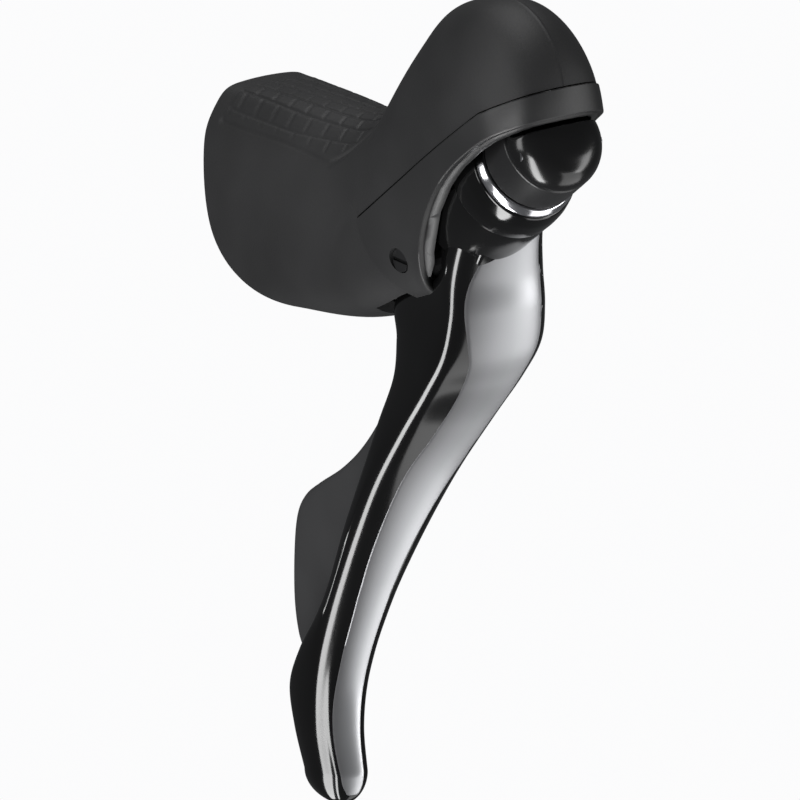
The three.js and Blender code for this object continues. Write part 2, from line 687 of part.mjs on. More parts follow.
// The blade's section in X and Y: the outside from the outer flank over the crest and the face to
// the inner flank, then back inside the channel.
function bladeSection({ crest, across, outer, inner }, wall) {
  const [cx, cy] = crest;
  const outside = [
    [-outer, 0.5], [-outer * 0.6, -0.2], [-2.6, -0.3], [-0.7, 0.4], [0.4, 2], [0.7, across * 0.22],
    [1.6, across * 0.45], [2.2, across * 0.7], [1.9, across * 0.88], [1, across * 0.97],
    [-0.8, across], [-inner * 0.6, across + 0.1], [-inner, across - 0.2],
  ];
  const channel = [
    [-inner, across - 0.2 - wall], [-2.6, across - wall], [-0.9, across * 0.88 - wall * 0.4],
    [-0.6, across * 0.6], [-1.2, across * 0.4], [-2.2, across * 0.12 + wall * 0.7],
    [-3.4, wall], [-outer, 0.5 + wall],
  ];
  return [...outside, ...channel].map(([x, y]) => [cx + x, cy + y]);
}

function blade() {
  const rows = [];
  const steps = 30;
  const top = SLICES[0].z;
  const low = SLICES[SLICES.length - 1].z;
  for (let i = 0; i <= steps; i++) {
    const z = top + ((low - top) * i) / steps;
    rows.push(bladeSection(sliceAt(z), BLADE_WALL).map(([x, y]) => new THREE.Vector3(x, y, z)));
  }
  // The tip closes in a half round below the last slice.
  const last = bladeSection(sliceAt(low + 1e-6), BLADE_WALL);
  const middle = [sliceAt(low + 1e-6).crest[0] - 2, sliceAt(low + 1e-6).crest[1] + 5.2];
  for (let k = 1; k <= 4; k++) {
    const turn = (k / 4) * deg(82);
    const shrink = Math.cos(turn);
    const z = low - (low - TIP_LOW) * Math.sin(turn);
    rows.push(last.map(([x, y]) => new THREE.Vector3(
      middle[0] + (x - middle[0]) * shrink, middle[1] + (y - middle[1]) * shrink, z)));
  }
  return solidOf(skin(rows));
}

// The hub turns on the shaft behind the trim ring; its shroud covers the ratchet's lower side.
function leverHub() {
  const body = disc(HUB.radius, HUB.low, HUB.high, 36);
  const upperHalf = block([-20, -20, -40], [-1, 20, 0]);
  const shroud = cut(washer(10.3, HUB.radius, -33.6, HUB.low + 0.5, 36), upperHalf);
  const pin = rod([...DRIVE_PAWL.pin, RATCHET.low], [...DRIVE_PAWL.pin, HUB.low + 1], PIN_RADIUS, 12);
  const post = rod([...DRIVE_PAWL.pin, RATCHET.high + 0.2], [...DRIVE_PAWL.pin, HUB.low + 1], 1.4, 12);
  return solidOf(geometryOf(joined(body, shroud, pin, post)), unit.matrix);
}

const NECK = [
  { z: 21, x: [70, 81.5], y: [-10.4, 10.4] },
  { z: 16, x: [66.5, 81], y: [-10.6, 10] },
  { z: 11, x: [66.5, 77], y: [-10, 9.4] },
  { z: 5, x: [66.5, 72.6], y: [-9.4, 9.8] },
];

function mainLever() {
  const neckRows = NECK.map(({ z, x, y }) =>
    [
      [x[0], y[0]], [x[1] - 3.5, y[0]], [x[1], y[0] + 5],
      [x[1], y[1] - 5], [x[1] - 3.5, y[1]], [x[0], y[1]],
    ].map(([px, py]) => new THREE.Vector3(px, py, z)),
  );
  const inUnitFrame = (solid) => solidOf(geometryOf(solid), unit.matrix);
  const front = inUnitFrame(disc(18, HUB.high, 8));
  const inside = inUnitFrame(disc(10.3, -48, HUB.low, 36));
  const bore = inUnitFrame(disc(SHAFT_RADIUS + GAP, -48, 8, 20));
  const outside = cut(joined(solidOf(skin(neckRows)), blade()), front, inside);
  return cut(joined(outside, leverHub()), bore);
}

// ---------------------------------------------------------------- shift paddle behind the blade
// Level slices down the paddle's arm and pad: rear and front edges along X, and its outer face's Y.
const PADDLE_SLICES = [
  { z: 6, x: [62.3, 65.8], y: -5 },
  { z: -2, x: [61.4, 64.6], y: -5 },
  { z: -10, x: [58, 63], y: -6.8 },
  { z: -20, x: [50.8, 57.6], y: -8.6 },
  { z: -34, x: [43, 49], y: -10 },
  { z: -42, x: [37.4, 44.4], y: -10.9 },
  { z: -48, x: [31, 41], y: -11.4 },
  { z: -53, x: [23.6, 38.6], y: -11.6 },
  { z: -57, x: [18.4, 36.6], y: -11.6 },
  { z: -62, x: [15.4, 34.6], y: -11.6 },
  { z: -70, x: [14.3, 32.4], y: -11.6 },
  { z: -80, x: [14.4, 29.4], y: -11.6 },
  { z: -87, x: [16, 28], y: -11.6 },
  { z: -91.5, x: [20.4, 25.6], y: -11.6 },
];
const PADDLE_THICKNESS = 2.2;
const PADDLE_RING = { low: -33.4, high: -31.4, radius: 6.4 };

function shiftPaddle() {
  const rows = PADDLE_SLICES.map(({ z, x, y }) => {
    const inner = y + PADDLE_THICKNESS;
    const corners = [
      [x[0], y + 0.7], [x[0] + 0.7, y], [x[1] - 0.7, y],
      [x[1], y + 0.7], [x[1], inner], [x[0], inner],
    ];
    return corners.map(([px, py]) => new THREE.Vector3(px, py, z));
  });
  const { low, high, radius } = PADDLE_RING;
  const ring = washer(SHAFT_RADIUS + GAP, radius, low, high, 28);
  const slab = block([4, -5, low], [8.8, 1, high]);
  return joined(solidOf(skin(rows)), solidOf(geometryOf(joined(ring, slab)), unit.matrix));
}

// ---------------------------------------------------------------- materials and assembly
function material(color, roughness, metalness) {
  return new THREE.MeshStandardMaterial({ color, roughness, metalness });
}

const LOOKS = {
  rubber: material(0x1b1c1e, 0.75, 0),
  composite: material(0x161718, 0.55, 0),
  gloss: material(0x08090a, 0.12, 0),
  satin: material(0x1d1e20, 0.4, 0.2),
  steel: material(0xb4b6b9, 0.3, 1),
  alloy: material(0x9a9ca0, 0.35, 1),
  brass: material(0xb08d4a, 0.35, 1),
};

const lever = new THREE.Group();
lever.add(unit);

function place(group, name, solid, look) {
  const mesh = new THREE.Mesh(geometryOf(solid), look);
  mesh.name = name;
  group.add(mesh);
}

place(lever, "hood_cover", hoodCover(), LOOKS.rubber);
place(lever, "bracket_body", bracketBody(), LOOKS.composite);
place(lever, "clamp_band", clampBand(), LOOKS.steel);
place(lever, "clamp_barrel_nut", clampNut(), LOOKS.steel);
place(lever, "clamp_bolt", clampBolt(), LOOKS.steel);
place(lever, "brake_casing_stop", casingStop(CABLES.brake), LOOKS.steel);
place(lever, "shift_casing_stop", casingStop(CABLES.shift), LOOKS.steel);
place(lever, "lever_axle", leverAxle(), LOOKS.steel);
place(lever, "main_lever", mainLever(), LOOKS.gloss);
place(lever, "shift_paddle", shiftPaddle(), LOOKS.satin);
place(lever, "brake_return_spring", brakeReturnSpring(), LOOKS.steel);

place(unit, "lever_carrier", leverCarrier(), LOOKS.alloy);
place(unit, "axle_bush_outer", axleBush(-1), LOOKS.brass);
place(unit, "axle_bush_inner", axleBush(1), LOOKS.brass);
place(unit, "main_shaft", mainShaft(), LOOKS.steel);
place(unit, "shaft_nut", shaftNut(), LOOKS.steel);
place(unit, "unit_collar", unitCollar(), LOOKS.satin);
place(unit, "name_cap", nameCap(), LOOKS.gloss);
place(unit, "cap_screw_outer", capScrew(-1), LOOKS.steel);
place(unit, "cap_screw_inner", capScrew(1), LOOKS.steel);
place(unit, "lever_return_spring", returnSpring(), LOOKS.steel);
place(unit, "hub_trim_ring", hubTrimRing(), LOOKS.alloy);
place(unit, "winding_drum", windingDrum(), LOOKS.alloy);
place(unit, "ratchet_wheel", ratchetWheel(), LOOKS.steel);
place(unit, "drive_pawl", pawl(DRIVE_PAWL), LOOKS.steel);
place(unit, "hold_pawl", pawl(HOLD_PAWL), LOOKS.steel);
place(unit, "cable_hook", cableHook(), LOOKS.steel);
place(unit, "reach_adjust_screw", reachScrew(), LOOKS.steel);

export default lever;
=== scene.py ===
# %% [markdown]
# A road brake and shift lever, piece by piece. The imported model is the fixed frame: every piece
# below is made in its millimetres, is turned into metres when its mesh is filled, and rides on one
# of its bodies. The smooth outer pieces are worked out as surfaces; the small turned and cut pieces
# inside keep their own solids and get a finish.

import bmesh
import bpy
import numpy as np
from mathutils import Matrix, Vector


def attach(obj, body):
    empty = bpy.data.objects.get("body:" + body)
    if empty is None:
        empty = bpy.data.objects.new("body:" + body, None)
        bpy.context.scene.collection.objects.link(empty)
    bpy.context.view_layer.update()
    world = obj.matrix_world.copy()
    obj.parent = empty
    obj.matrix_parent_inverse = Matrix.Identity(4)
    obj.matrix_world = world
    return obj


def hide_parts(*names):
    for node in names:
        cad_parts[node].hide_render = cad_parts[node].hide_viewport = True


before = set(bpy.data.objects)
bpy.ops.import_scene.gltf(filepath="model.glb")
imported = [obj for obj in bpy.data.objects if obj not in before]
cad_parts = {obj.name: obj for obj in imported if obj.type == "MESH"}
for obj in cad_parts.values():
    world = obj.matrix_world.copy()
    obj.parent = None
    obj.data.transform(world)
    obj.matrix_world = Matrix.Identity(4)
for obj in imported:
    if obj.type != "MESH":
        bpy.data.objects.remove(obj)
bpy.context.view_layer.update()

# %% [markdown]
# A surface is a grid of points: rows along the piece, columns around it. Two helpers turn such a
# grid into a mesh. The faces join each point to its neighbours, a ring of rows closes on itself, and
# an open run of rows is closed at each end by a fan to the middle of its last row. The signed volume
# of the result says whether it is inside out, and if it is, every face is turned over.

# %% Grids into meshes
MM = 0.001


def grid_quads(rows, columns, ring):
    """Corner numbers of the quads of a grid that closes around; ring closes it along as well."""
    i = np.arange(rows if ring else rows - 1)[:, None]
    j = np.arange(columns)[None, :]
    right, below = (j + 1) % columns, (i + 1) % rows
    corners = (i * columns + j, i * columns + right, below * columns + right, below * columns + j)
    return np.stack(corners, axis=-1).reshape(-1, 4)


def fan(row_start, columns, middle, flip):
    """Triangles from a row's points to one middle point."""
    a = row_start + np.arange(columns)
    b = row_start + (np.arange(columns) + 1) % columns
    pair = (b, a) if flip else (a, b)
    return np.stack((*pair, np.full(columns, middle)), axis=-1)


def signed_volume(points, triangles):
    """Sum over the triangles of a . (b x c) / 6, which is positive when they face outwards."""
    a, b, c = (points[triangles[:, k]] for k in range(3))
    return float(np.einsum("ij,ij->i", a, np.cross(b, c)).sum() / 6)


def shell(rows, ring=False):
    """Points and faces of one closed body from rows of points, facing outwards."""
    rows = np.asarray(rows, dtype=float)
    count, columns, _ = rows.shape
    points = rows.reshape(-1, 3)
    quads = grid_quads(count, columns, ring)
    ends = np.zeros((0, 3), dtype=int)
    if not ring:
        points = np.vstack((points, rows[0].mean(axis=0), rows[-1].mean(axis=0)))
        first = fan(0, columns, count * columns, flip=True)
        last = fan((count - 1) * columns, columns, count * columns + 1, flip=False)
        ends = np.vstack((first, last))
    if signed_volume(points, np.vstack((quads[:, :3], quads[:, [0, 2, 3]], ends))) < 0:
        quads, ends = quads[:, ::-1], ends[:, ::-1]
    return points, [*quads.tolist(), *ends.tolist()]


def piece(name, shells, body, material, smooth_under=40):
    """One object from one or more closed shells in millimetres, riding on a body."""
    points, faces, start = [], [], 0
    for shell_points, shell_faces in shells:
        points.append(shell_points)
        faces.extend([[start + corner for corner in face] for face in shell_faces])
        start += len(shell_points)
    mesh = bpy.data.meshes.new(name)
    mesh.from_pydata(np.vstack(points) * MM, [], faces)
    mesh.polygons.foreach_set("use_smooth", np.ones(len(mesh.polygons), dtype=bool))
    mesh.set_sharp_from_angle(angle=np.radians(smooth_under))
    mesh.materials.append(material)
    made = bpy.data.objects.new(name, mesh)
    bpy.context.scene.collection.objects.link(made)
    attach(made, body)
    print(name, "faces", len(mesh.polygons), "on", body)
    return made


# %% [markdown]
# Finishes share two effects, and each is a node group that is built once. "grain" is the fine
# texture of moulded rubber or cast composite: noise in the object's own coordinates, so that it
# keeps its scale on every piece, put out as a height for a bump and as a slow cloudy patchiness.
# "brushing" is the fine lines that a finishing belt leaves in metal: the same kind of noise, drawn
# tight along Y.

# %% Shared effects
def new_group(name, inputs, outputs):
    """An empty node group with named float sockets."""
    group = bpy.data.node_groups.new(name, "ShaderNodeTree")
    for label, value in inputs:
        socket = group.interface.new_socket(label, in_out="INPUT", socket_type="NodeSocketFloat")
        socket.default_value = value
    for label in outputs:
        group.interface.new_socket(label, in_out="OUTPUT", socket_type="NodeSocketFloat")
    return group, group.nodes.new("NodeGroupInput"), group.nodes.new("NodeGroupOutput")


def grain_group():
    """Height = fine noise; Patches = the same coordinates seen through slow, large noise."""
    group, given, out = new_group("grain", [("Scale", 900.0), ("Patch scale", 45.0)], ["Height", "Patches"])
    where = group.nodes.new("ShaderNodeTexCoord")
    fine, slow = (group.nodes.new("ShaderNodeTexNoise") for _ in range(2))
    fine.inputs["Detail"].default_value = 3.0
    slow.inputs["Detail"].default_value = 2.0
    group.links.new(where.outputs["Object"], fine.inputs["Vector"])
    group.links.new(where.outputs["Object"], slow.inputs["Vector"])
    group.links.new(given.outputs["Scale"], fine.inputs["Scale"])
    group.links.new(given.outputs["Patch scale"], slow.inputs["Scale"])
    group.links.new(fine.outputs["Fac"], out.inputs["Height"])
    group.links.new(slow.outputs["Fac"], out.inputs["Patches"])
    return group


def brushing_group():
    """Height = noise at (x, Stretch * y, z), which makes fine lines that lie across Y."""
    group, given, out = new_group("brushing", [("Scale", 60.0), ("Stretch", 30.0)], ["Height"])
    where = group.nodes.new("ShaderNodeTexCoord")
    stretch = group.nodes.new("ShaderNodeVectorMath")
    stretch.operation = "MULTIPLY"
    spread = group.nodes.new("ShaderNodeCombineXYZ")
    spread.inputs["X"].default_value = 1.0
    spread.inputs["Z"].default_value = 1.0
    noise = group.nodes.new("ShaderNodeTexNoise")
    group.links.new(where.outputs["Object"], stretch.inputs[0])
    group.links.new(given.outputs["Stretch"], spread.inputs["Y"])
    group.links.new(spread.outputs["Vector"], stretch.inputs[1])
    group.links.new(stretch.outputs["Vector"], noise.inputs["Vector"])
    group.links.new(given.outputs["Scale"], noise.inputs["Scale"])
    group.links.new(noise.outputs["Fac"], out.inputs["Height"])
    return group


GRAIN = grain_group()
BRUSHING = brushing_group()
print("groups", [g.name for g in bpy.data.node_groups])

# %% [markdown]
# One builder makes every finish. The base colour drifts between two near shades with the patches,
# the roughness drifts between two values with them, and the grain's height goes through a Bump node
# into the normal. Values that are the same all over are set on the shader's own sockets.

# %% The finish builder
RELIEF_STRENGTH = 0.35
PATCHES_FROM, PATCHES_TO = 0.3, 0.7  # the noise hardly ever leaves this span


def drift(tree, amount, low, high):
    """A Map Range from the patchiness to a value between low and high."""
    node = tree.nodes.new("ShaderNodeMapRange")
    node.inputs["From Min"].default_value = PATCHES_FROM
    node.inputs["From Max"].default_value = PATCHES_TO
    node.inputs["To Min"].default_value = low
    node.inputs["To Max"].default_value = high
    tree.links.new(amount, node.inputs["Value"])
    return node.outputs["Result"]


def finish(name, shades, roughness, metallic=0.0, scale=900.0, bump=0.05, specular=0.5, brushed=False):
    """A Principled material; shades and roughness are pairs that the surface drifts between."""
    material = bpy.data.materials.new(name)
    material.use_nodes = True
    tree = material.node_tree
    shader = tree.nodes["Principled BSDF"]
    shader.inputs["Metallic"].default_value = metallic
    shader.inputs["Specular IOR Level"].default_value = specular
    grain = tree.nodes.new("ShaderNodeGroup")
    grain.node_tree = GRAIN
    grain.inputs["Scale"].default_value = scale
    mix = tree.nodes.new("ShaderNodeMix")
    mix.data_type = "RGBA"
    mix.inputs["A"].default_value = (*shades[0], 1)
    mix.inputs["B"].default_value = (*shades[1], 1)
    tree.links.new(drift(tree, grain.outputs["Patches"], 0, 1), mix.inputs["Factor"])
    tree.links.new(mix.outputs["Result"], shader.inputs["Base Color"])
    tree.links.new(drift(tree, grain.outputs["Patches"], *roughness), shader.inputs["Roughness"])
    height = grain.outputs["Height"]
    if brushed:
        lines = tree.nodes.new("ShaderNodeGroup")
        lines.node_tree = BRUSHING
        height = lines.outputs["Height"]
    relief = tree.nodes.new("ShaderNodeBump")
    relief.inputs["Strength"].default_value = RELIEF_STRENGTH
    relief.inputs["Distance"].default_value = bump * MM
    tree.links.new(height, relief.inputs["Height"])
    tree.links.new(relief.outputs["Normal"], shader.inputs["Normal"])
    return material


def grey(value):
    return (value, value, value * 1.04)


rubber = finish("hood_rubber", (grey(0.012), grey(0.016)), (0.52, 0.62), scale=2600, bump=0.1, specular=0.35)
composite = finish("bracket_composite", (grey(0.011), grey(0.014)), (0.42, 0.5), scale=1800, bump=0.05)
gloss = finish("lever_gloss", (grey(0.0025), grey(0.0035)), (0.11, 0.14), scale=350, bump=0.004)
cap_gloss = finish("cap_gloss", (grey(0.005), grey(0.007)), (0.16, 0.2), scale=350, bump=0.004)
collar_satin = finish("collar_satin", (grey(0.01), grey(0.014)), (0.3, 0.36), scale=1500, bump=0.01)
paddle_black = finish("paddle_black", (grey(0.02), grey(0.026)), (0.4, 0.48), scale=1500, bump=0.03)
chrome = finish("trim_chrome", (grey(0.62), grey(0.7)), (0.14, 0.2), 1.0, bump=0.004, brushed=True)
axle_black = finish("axle_black", (grey(0.03), grey(0.04)), (0.35, 0.42), 0.8, bump=0.01)
steel = finish("turned_steel", (grey(0.45), grey(0.55)), (0.25, 0.34), 1.0, bump=0.01, brushed=True)
bolt_steel = finish("fastener_steel", (grey(0.32), grey(0.42)), (0.28, 0.38), 1.0, bump=0.01)
spring_steel = finish("spring_steel", (grey(0.3), grey(0.4)), (0.22, 0.3), 1.0, bump=0.006)
band_steel = finish("band_steel", (grey(0.42), grey(0.5)), (0.3, 0.38), 1.0, bump=0.01, brushed=True)
alloy = finish("carrier_alloy", (grey(0.028), grey(0.036)), (0.4, 0.5), 0.5, scale=1200, bump=0.03)
drum = finish("drum_alloy", (grey(0.4), grey(0.48)), (0.32, 0.4), 1.0, bump=0.01, brushed=True)
brass = finish("bush_brass", ((0.62, 0.42, 0.16), (0.7, 0.5, 0.2)), (0.28, 0.36), 1.0, bump=0.008)
print("finishes", len(bpy.data.materials))

# %% [markdown]
# The nodes that keep their solids get their finish by a new material in their slot. Their shapes
# are not touched.

# %% Finishes of the kept nodes
KEPT = {
    "clamp_band": band_steel, "clamp_barrel_nut": bolt_steel,
    "clamp_bolt": bolt_steel, "brake_casing_stop": steel, "shift_casing_stop": steel,
    "lever_axle": axle_black, "brake_return_spring": spring_steel, "lever_carrier": alloy,
    "axle_bush_outer": brass, "axle_bush_inner": brass, "main_shaft": steel, "shaft_nut": bolt_steel,
    "cap_screw_outer": bolt_steel, "cap_screw_inner": bolt_steel,
    "lever_return_spring": spring_steel, "winding_drum": drum, "ratchet_wheel": steel,
    "drive_pawl": steel, "hold_pawl": steel, "cable_hook": steel, "reach_adjust_screw": bolt_steel,
}
for node, material in KEPT.items():
    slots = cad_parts[node].material_slots
    for slot in slots:
        slot.material = material
print("kept nodes", len(KEPT))

# %% [markdown]
# The gripping body is one flowing surface: thirteen loops of twenty control points, blended by a
# cubic B-spline both along and around. Each loop is given in side view by its top and bottom points
# and by how far its sides bow to the rear, and across by the half-widths of its flat top, its
# faceted ridge and its side.

# %% The gripping body's surface
#           top X  top Z  low X  low Z  bow  flat  at    ridge  at   side
STATIONS = np.array([
    [-12.0, 21.0, 25.0, -17.2, 16.8, 9.5, 0.010, 14.0, 0.10, 17.6],
    [3.5, 22.2, 30.0, -17.5, 12.0, 8.5, 0.020, 14.1, 0.13, 17.6],
    [15.5, 23.0, 34.5, -17.0, 6.0, 7.5, 0.030, 13.9, 0.15, 17.3],
    [26.0, 23.2, 38.5, -16.0, 3.0, 7.0, 0.040, 13.2, 0.17, 16.8],
    [34.5, 24.4, 42.0, -14.6, 1.5, 6.5, 0.060, 12.6, 0.19, 16.5],
    [40.8, 31.2, 45.5, -13.2, 1.0, 6.0, 0.080, 12.0, 0.20, 16.4],
    [46.6, 42.4, 49.0, -11.8, 0.0, 5.6, 0.085, 11.4, 0.20, 16.2],
    [54.2, 52.6, 52.0, -10.4, 0.0, 5.6, 0.070, 11.2, 0.19, 16.2],
    [65.0, 57.0, 54.6, -9.2, 1.0, 6.4, 0.035, 11.8, 0.18, 16.0],
    [76.0, 59.6, 57.0, -8.2, 3.0, 7.8, 0.050, 13.3, 0.22, 16.0],
    [86.0, 55.6, 59.0, -7.3, 6.0, 8.4, 0.050, 13.9, 0.20, 15.9],
    [91.6, 47.2, 60.5, -6.6, 8.0, 8.4, 0.030, 13.4, 0.15, 15.8],
    [92.4, 39.4, 61.0, -6.0, 9.0, 8.8, 0.025, 13.4, 0.13, 15.7],
])


def control_loops(stations):
    """Twenty control points a loop: eleven down the outer side, and their mirror images back up."""
    top, low, bow, flat, flat_at, ridge, ridge_at, side = (
        stations[:, 0:2], stations[:, 2:4], *(stations[:, k] for k in range(4, 10)))
    zero, one = np.zeros_like(bow), np.ones_like(bow)
    across = np.stack((zero, 0.55 * flat, flat, (flat + ridge) / 2, ridge, 0.65 * ridge + 0.35 * side,
                       side, 0.99 * side, 0.92 * side, 0.62 * side, zero), axis=1)
    share = np.stack((zero, 0.3 * flat_at, flat_at, 0.47 * (flat_at + ridge_at), ridge_at, ridge_at + 0.07,
                      0.45 * one, 0.7 * one, 0.88 * one, 0.985 * one, one), axis=1)
    down = low - top
    back = np.stack((down[:, 1], -down[:, 0]), axis=1)
    back /= np.linalg.norm(back, axis=1, keepdims=True)
    bowed = (bow[:, None] * np.sin(np.pi * share))[..., None] * back[:, None]
    side_view = top[:, None] + down[:, None] * share[..., None] + bowed
    half = np.stack((side_view[..., 0], -across, side_view[..., 1]), axis=-1)
    return np.concatenate((half, half[:, 9:0:-1] * (1, -1, 1)), axis=1)


LOOPS = control_loops(STATIONS)
print("control points", LOOPS.shape)


def spline_weights(place):
    """The four cubic B-spline weights at a place, for its own interval: they always sum to one."""
    t = (place - np.floor(place))[..., None]
    s = 1 - t
    return np.concatenate((s**3, 3 * t**3 - 6 * t**2 + 4, 3 * s**3 - 6 * s**2 + 4, t**3), axis=-1) / 6


def body_point(along, around):
    """Blend of the sixteen control points nearest to each (along, around), both shares of one."""
    count, columns, _ = LOOPS.shape
    v = np.clip(along, 0, 1 - 1e-9) * (count + 1)
    u = np.mod(around, 1.0) * columns
    four = np.arange(4)
    row = np.clip(np.floor(v).astype(int)[..., None] + four - 2, 0, count - 1)
    column = (np.floor(u).astype(int)[..., None] + four - 1) % columns
    near = LOOPS[row[..., :, None], column[..., None, :]]
    return np.einsum("...a,...b,...abc->...c", spline_weights(v), spline_weights(u), near)


def body_normal(along, around):
    """Unit cross product of the two directions of the surface, pointing outwards."""
    step = 2e-3
    low, high = np.clip(along - step, 0, 1), np.clip(along + step, 0, 1)
    lengthways = body_point(high, around) - body_point(low, around)
    sideways = body_point(along, around + step) - body_point(along, around - step)
    normal = np.cross(sideways, lengthways)
    return normal / np.maximum(np.linalg.norm(normal, axis=-1, keepdims=True), 1e-9)


# %% [markdown]
# The rubber hood ends on a seam: a line under the horn, then a curve behind the bare side panel. In
# front of it the bracket is bare. The seam is the edge of one flat region seen from the side. A
# prism of that region is cut out of the hood, and the bracket's front keeps what lies inside it.
# These Booleans are applied at once.

# %% Where the hood ends
UPPER_SEAM = np.array([[120.0, 61.0], [108.0, 54.2], [91.4, 44.8], [81.7, 39.3]])
LOWER_SEAM = np.array([[43.5, 8.5], [45.0, 3.0], [50.0, -1.5], [62.0, -9.5]])
BELOW = np.array([[66.0, -30.0], [120.0, -30.0]])


def bezier(points, count=40):
    """Cubic Bezier through its four points, at even steps."""
    t = np.linspace(0, 1, count)[:, None]
    s = 1 - t
    return s**3 * points[0] + 3 * s**2 * t * points[1] + 3 * s * t**2 * points[2] + t**3 * points[3]


BARE = np.vstack((UPPER_SEAM, bezier(LOWER_SEAM), BELOW))
PRISM_HALF = 40.0
SLOT_HALF = 11.8
UNDERSIDE_SLOT = [[44.0, -40.0], [80.0, -40.0], [80.0, 7.0], [44.0, 7.0]]


def prism(outline, low, high):
    """A closed plate with a counter-clockwise side-view outline between two places across."""
    outline = np.asarray(outline, float)
    count = len(outline)
    places = (np.full(count, low), np.full(count, high))
    points = np.vstack([np.column_stack((outline[:, 0], y, outline[:, 1])) for y in places])
    sides = [[(i + 1) % count, i, count + i, count + (i + 1) % count] for i in range(count)]
    return points, [list(range(count)), list(range(2 * count - 1, count - 1, -1)), *sides]


def combine(target, shells, operation, smooth_under=40):
    """Cut closed shells out of a piece, or keep only what lies inside them, and apply it to its mesh."""
    tool = piece("tool", shells, "bracket", target.data.materials[0])
    boolean = target.modifiers.new("combine", "BOOLEAN")
    boolean.operation = operation
    boolean.solver = "MANIFOLD"
    boolean.object = tool
    depsgraph = bpy.context.evaluated_depsgraph_get()
    result = bpy.data.meshes.new_from_object(target.evaluated_get(depsgraph))
    target.modifiers.clear()
    target.data = result
    target.data.set_sharp_from_angle(angle=np.radians(smooth_under))
    bpy.data.objects.remove(tool, do_unlink=True)
    print(target.name, operation.lower(), "leaves", len(result.polygons), "faces")


def taken(made):
    """The points in millimetres and the faces of a piece that was only a step, and its removal."""
    points = np.array([vertex.co[:] for vertex in made.data.vertices]) / MM
    faces = [list(face.vertices) for face in made.data.polygons]
    bpy.data.objects.remove(made, do_unlink=True)
    return points, faces


def bare_region(gap):
    """The prism of the bare front, moved ahead and down by a gap, which leaves it at the seam."""
    return prism(BARE + (gap, -gap), -PRISM_HALF, PRISM_HALF)


print("seam corners", len(BARE))

# %% [markdown]
# The palm rest carries a net of low tiles inside a groove that runs round it. The relief is real
# geometry: a depth at each point of the hood's outer grid, taken along its normal. The grid is
# finer where the tiles are. The same depth function adds the mould line on the crest of the horn
# and the soft fold below the corner of the seam.

# %% Relief of the hood
def step(value, low, high):
    """Smooth step from 0 at low to 1 at high."""
    t = np.clip((value - low) / (high - low), 0, 1)
    return t * t * (3 - 2 * t)


def groove(distance, width):
    """A round-bottomed groove of that width: 1 on its line, falling off to both sides."""
    return np.exp(-((distance / (0.5 * width)) ** 2))


TILE_PITCH = 3.3
TILE_LENGTH = 5.6
TILE_GROOVE = 0.6
TILE_DEPTH = 0.24
PANEL_SIDE = 13.6
PANEL_REAR = -8.0
PANEL_TURN = (27.0, 2.5)  # where the panel's side starts to curve in, and how far in its centre lies
PANEL_ROUND = 11.4
PANEL_RAISED = 0.12
BORDER_GROOVE = 0.8
BORDER_DEPTH = 0.3
MOULD_LINE = 0.45
MOULD_HEIGHT = 0.16
FOLD_WIDTH = 3.4
FOLD_DEPTH = 0.12


def hood_relief(points):
    """Depth below the smooth hood: tiles, their border, the fold, and the raised mould line."""
    x, y, z = points[..., 0], np.abs(points[..., 1]), points[..., 2]
    on_top = step(z, 13.5, 15.0)
    turn_x, turn_y = PANEL_TURN
    corner = np.hypot(np.clip(x - turn_x, 0, None), np.clip(y - turn_y, 0, None))
    border = np.minimum(PANEL_SIDE - y, PANEL_ROUND - corner)
    border = np.where(x > turn_x, border, PANEL_SIDE - y)
    rear = x - PANEL_REAR
    inside = step(border, 0.2, 0.7) * step(rear, 0, 1.0)
    bend = 1 + 0.2 * step(x, 12, 36)
    lane = points[..., 1] * bend / TILE_PITCH + 0.5
    lane_number = np.floor(lane)
    lane_line = np.minimum(lane - lane_number, lane_number + 1 - lane) * TILE_PITCH
    run = (x + 0.35 * points[..., 1]) / TILE_LENGTH + 0.5 * np.mod(lane_number, 2)
    run_line = np.abs(run - np.round(run)) * TILE_LENGTH
    tiles = np.maximum(groove(lane_line, TILE_GROOVE), groove(run_line, TILE_GROOVE))
    fade = step(border, 0.9, 1.7)
    depth = TILE_DEPTH * tiles * fade * inside * on_top
    depth = depth + BORDER_DEPTH * groove(border - 0.35, BORDER_GROOVE) * step(rear, -1, 0.5) * on_top
    depth = depth - PANEL_RAISED * inside * on_top
    crest = step(x, 66, 72) * step(z, 38, 42)
    depth = depth - MOULD_HEIGHT * groove(points[..., 1], MOULD_LINE) * crest
    along_fold = np.clip((43.5 - x) / 8.4, 0, 1)
    fold_z = 8.5 - 7.6 * along_fold**1.6
    fold = groove(z - fold_z, FOLD_WIDTH) * step(x, 34.5, 38) * (1 - step(x, 43.0, 44.2)) * step(y, 8, 11)
    return depth + FOLD_DEPTH * fold


print("tiles", TILE_PITCH, "by", TILE_LENGTH)


# %% [markdown]
# The hood is one closed wall: rows run along its outer face from the rear rim to the front rim and
# come back along its inner face. Around the body the columns crowd together on the top, where the
# tiles are; along it the rows crowd together on the palm rest. The wall is then cut off at the
# seam, and slotted underneath, where the brake pivot's levers pass.

# %% The hood
HOOD_WALL = 2.2
HOOD_COLUMNS = 300
HOOD_ROWS = 270
TOP_SHARE = 0.62  # this share of the columns lies on the top half of the width


def crowded(count, dense, share):
    """Even steps that spend the given share of themselves on the first part, dense, of the way."""
    t = np.linspace(0, 1, count)
    return np.interp(t, [0, share, 1], [0, dense, 1])


half = np.interp(np.linspace(0, 0.5, HOOD_COLUMNS // 2 + 1), [0, 0.5 * TOP_SHARE, 0.5], [0, 0.21, 0.5])
around = np.concatenate((half, 1 - half[-2:0:-1]))


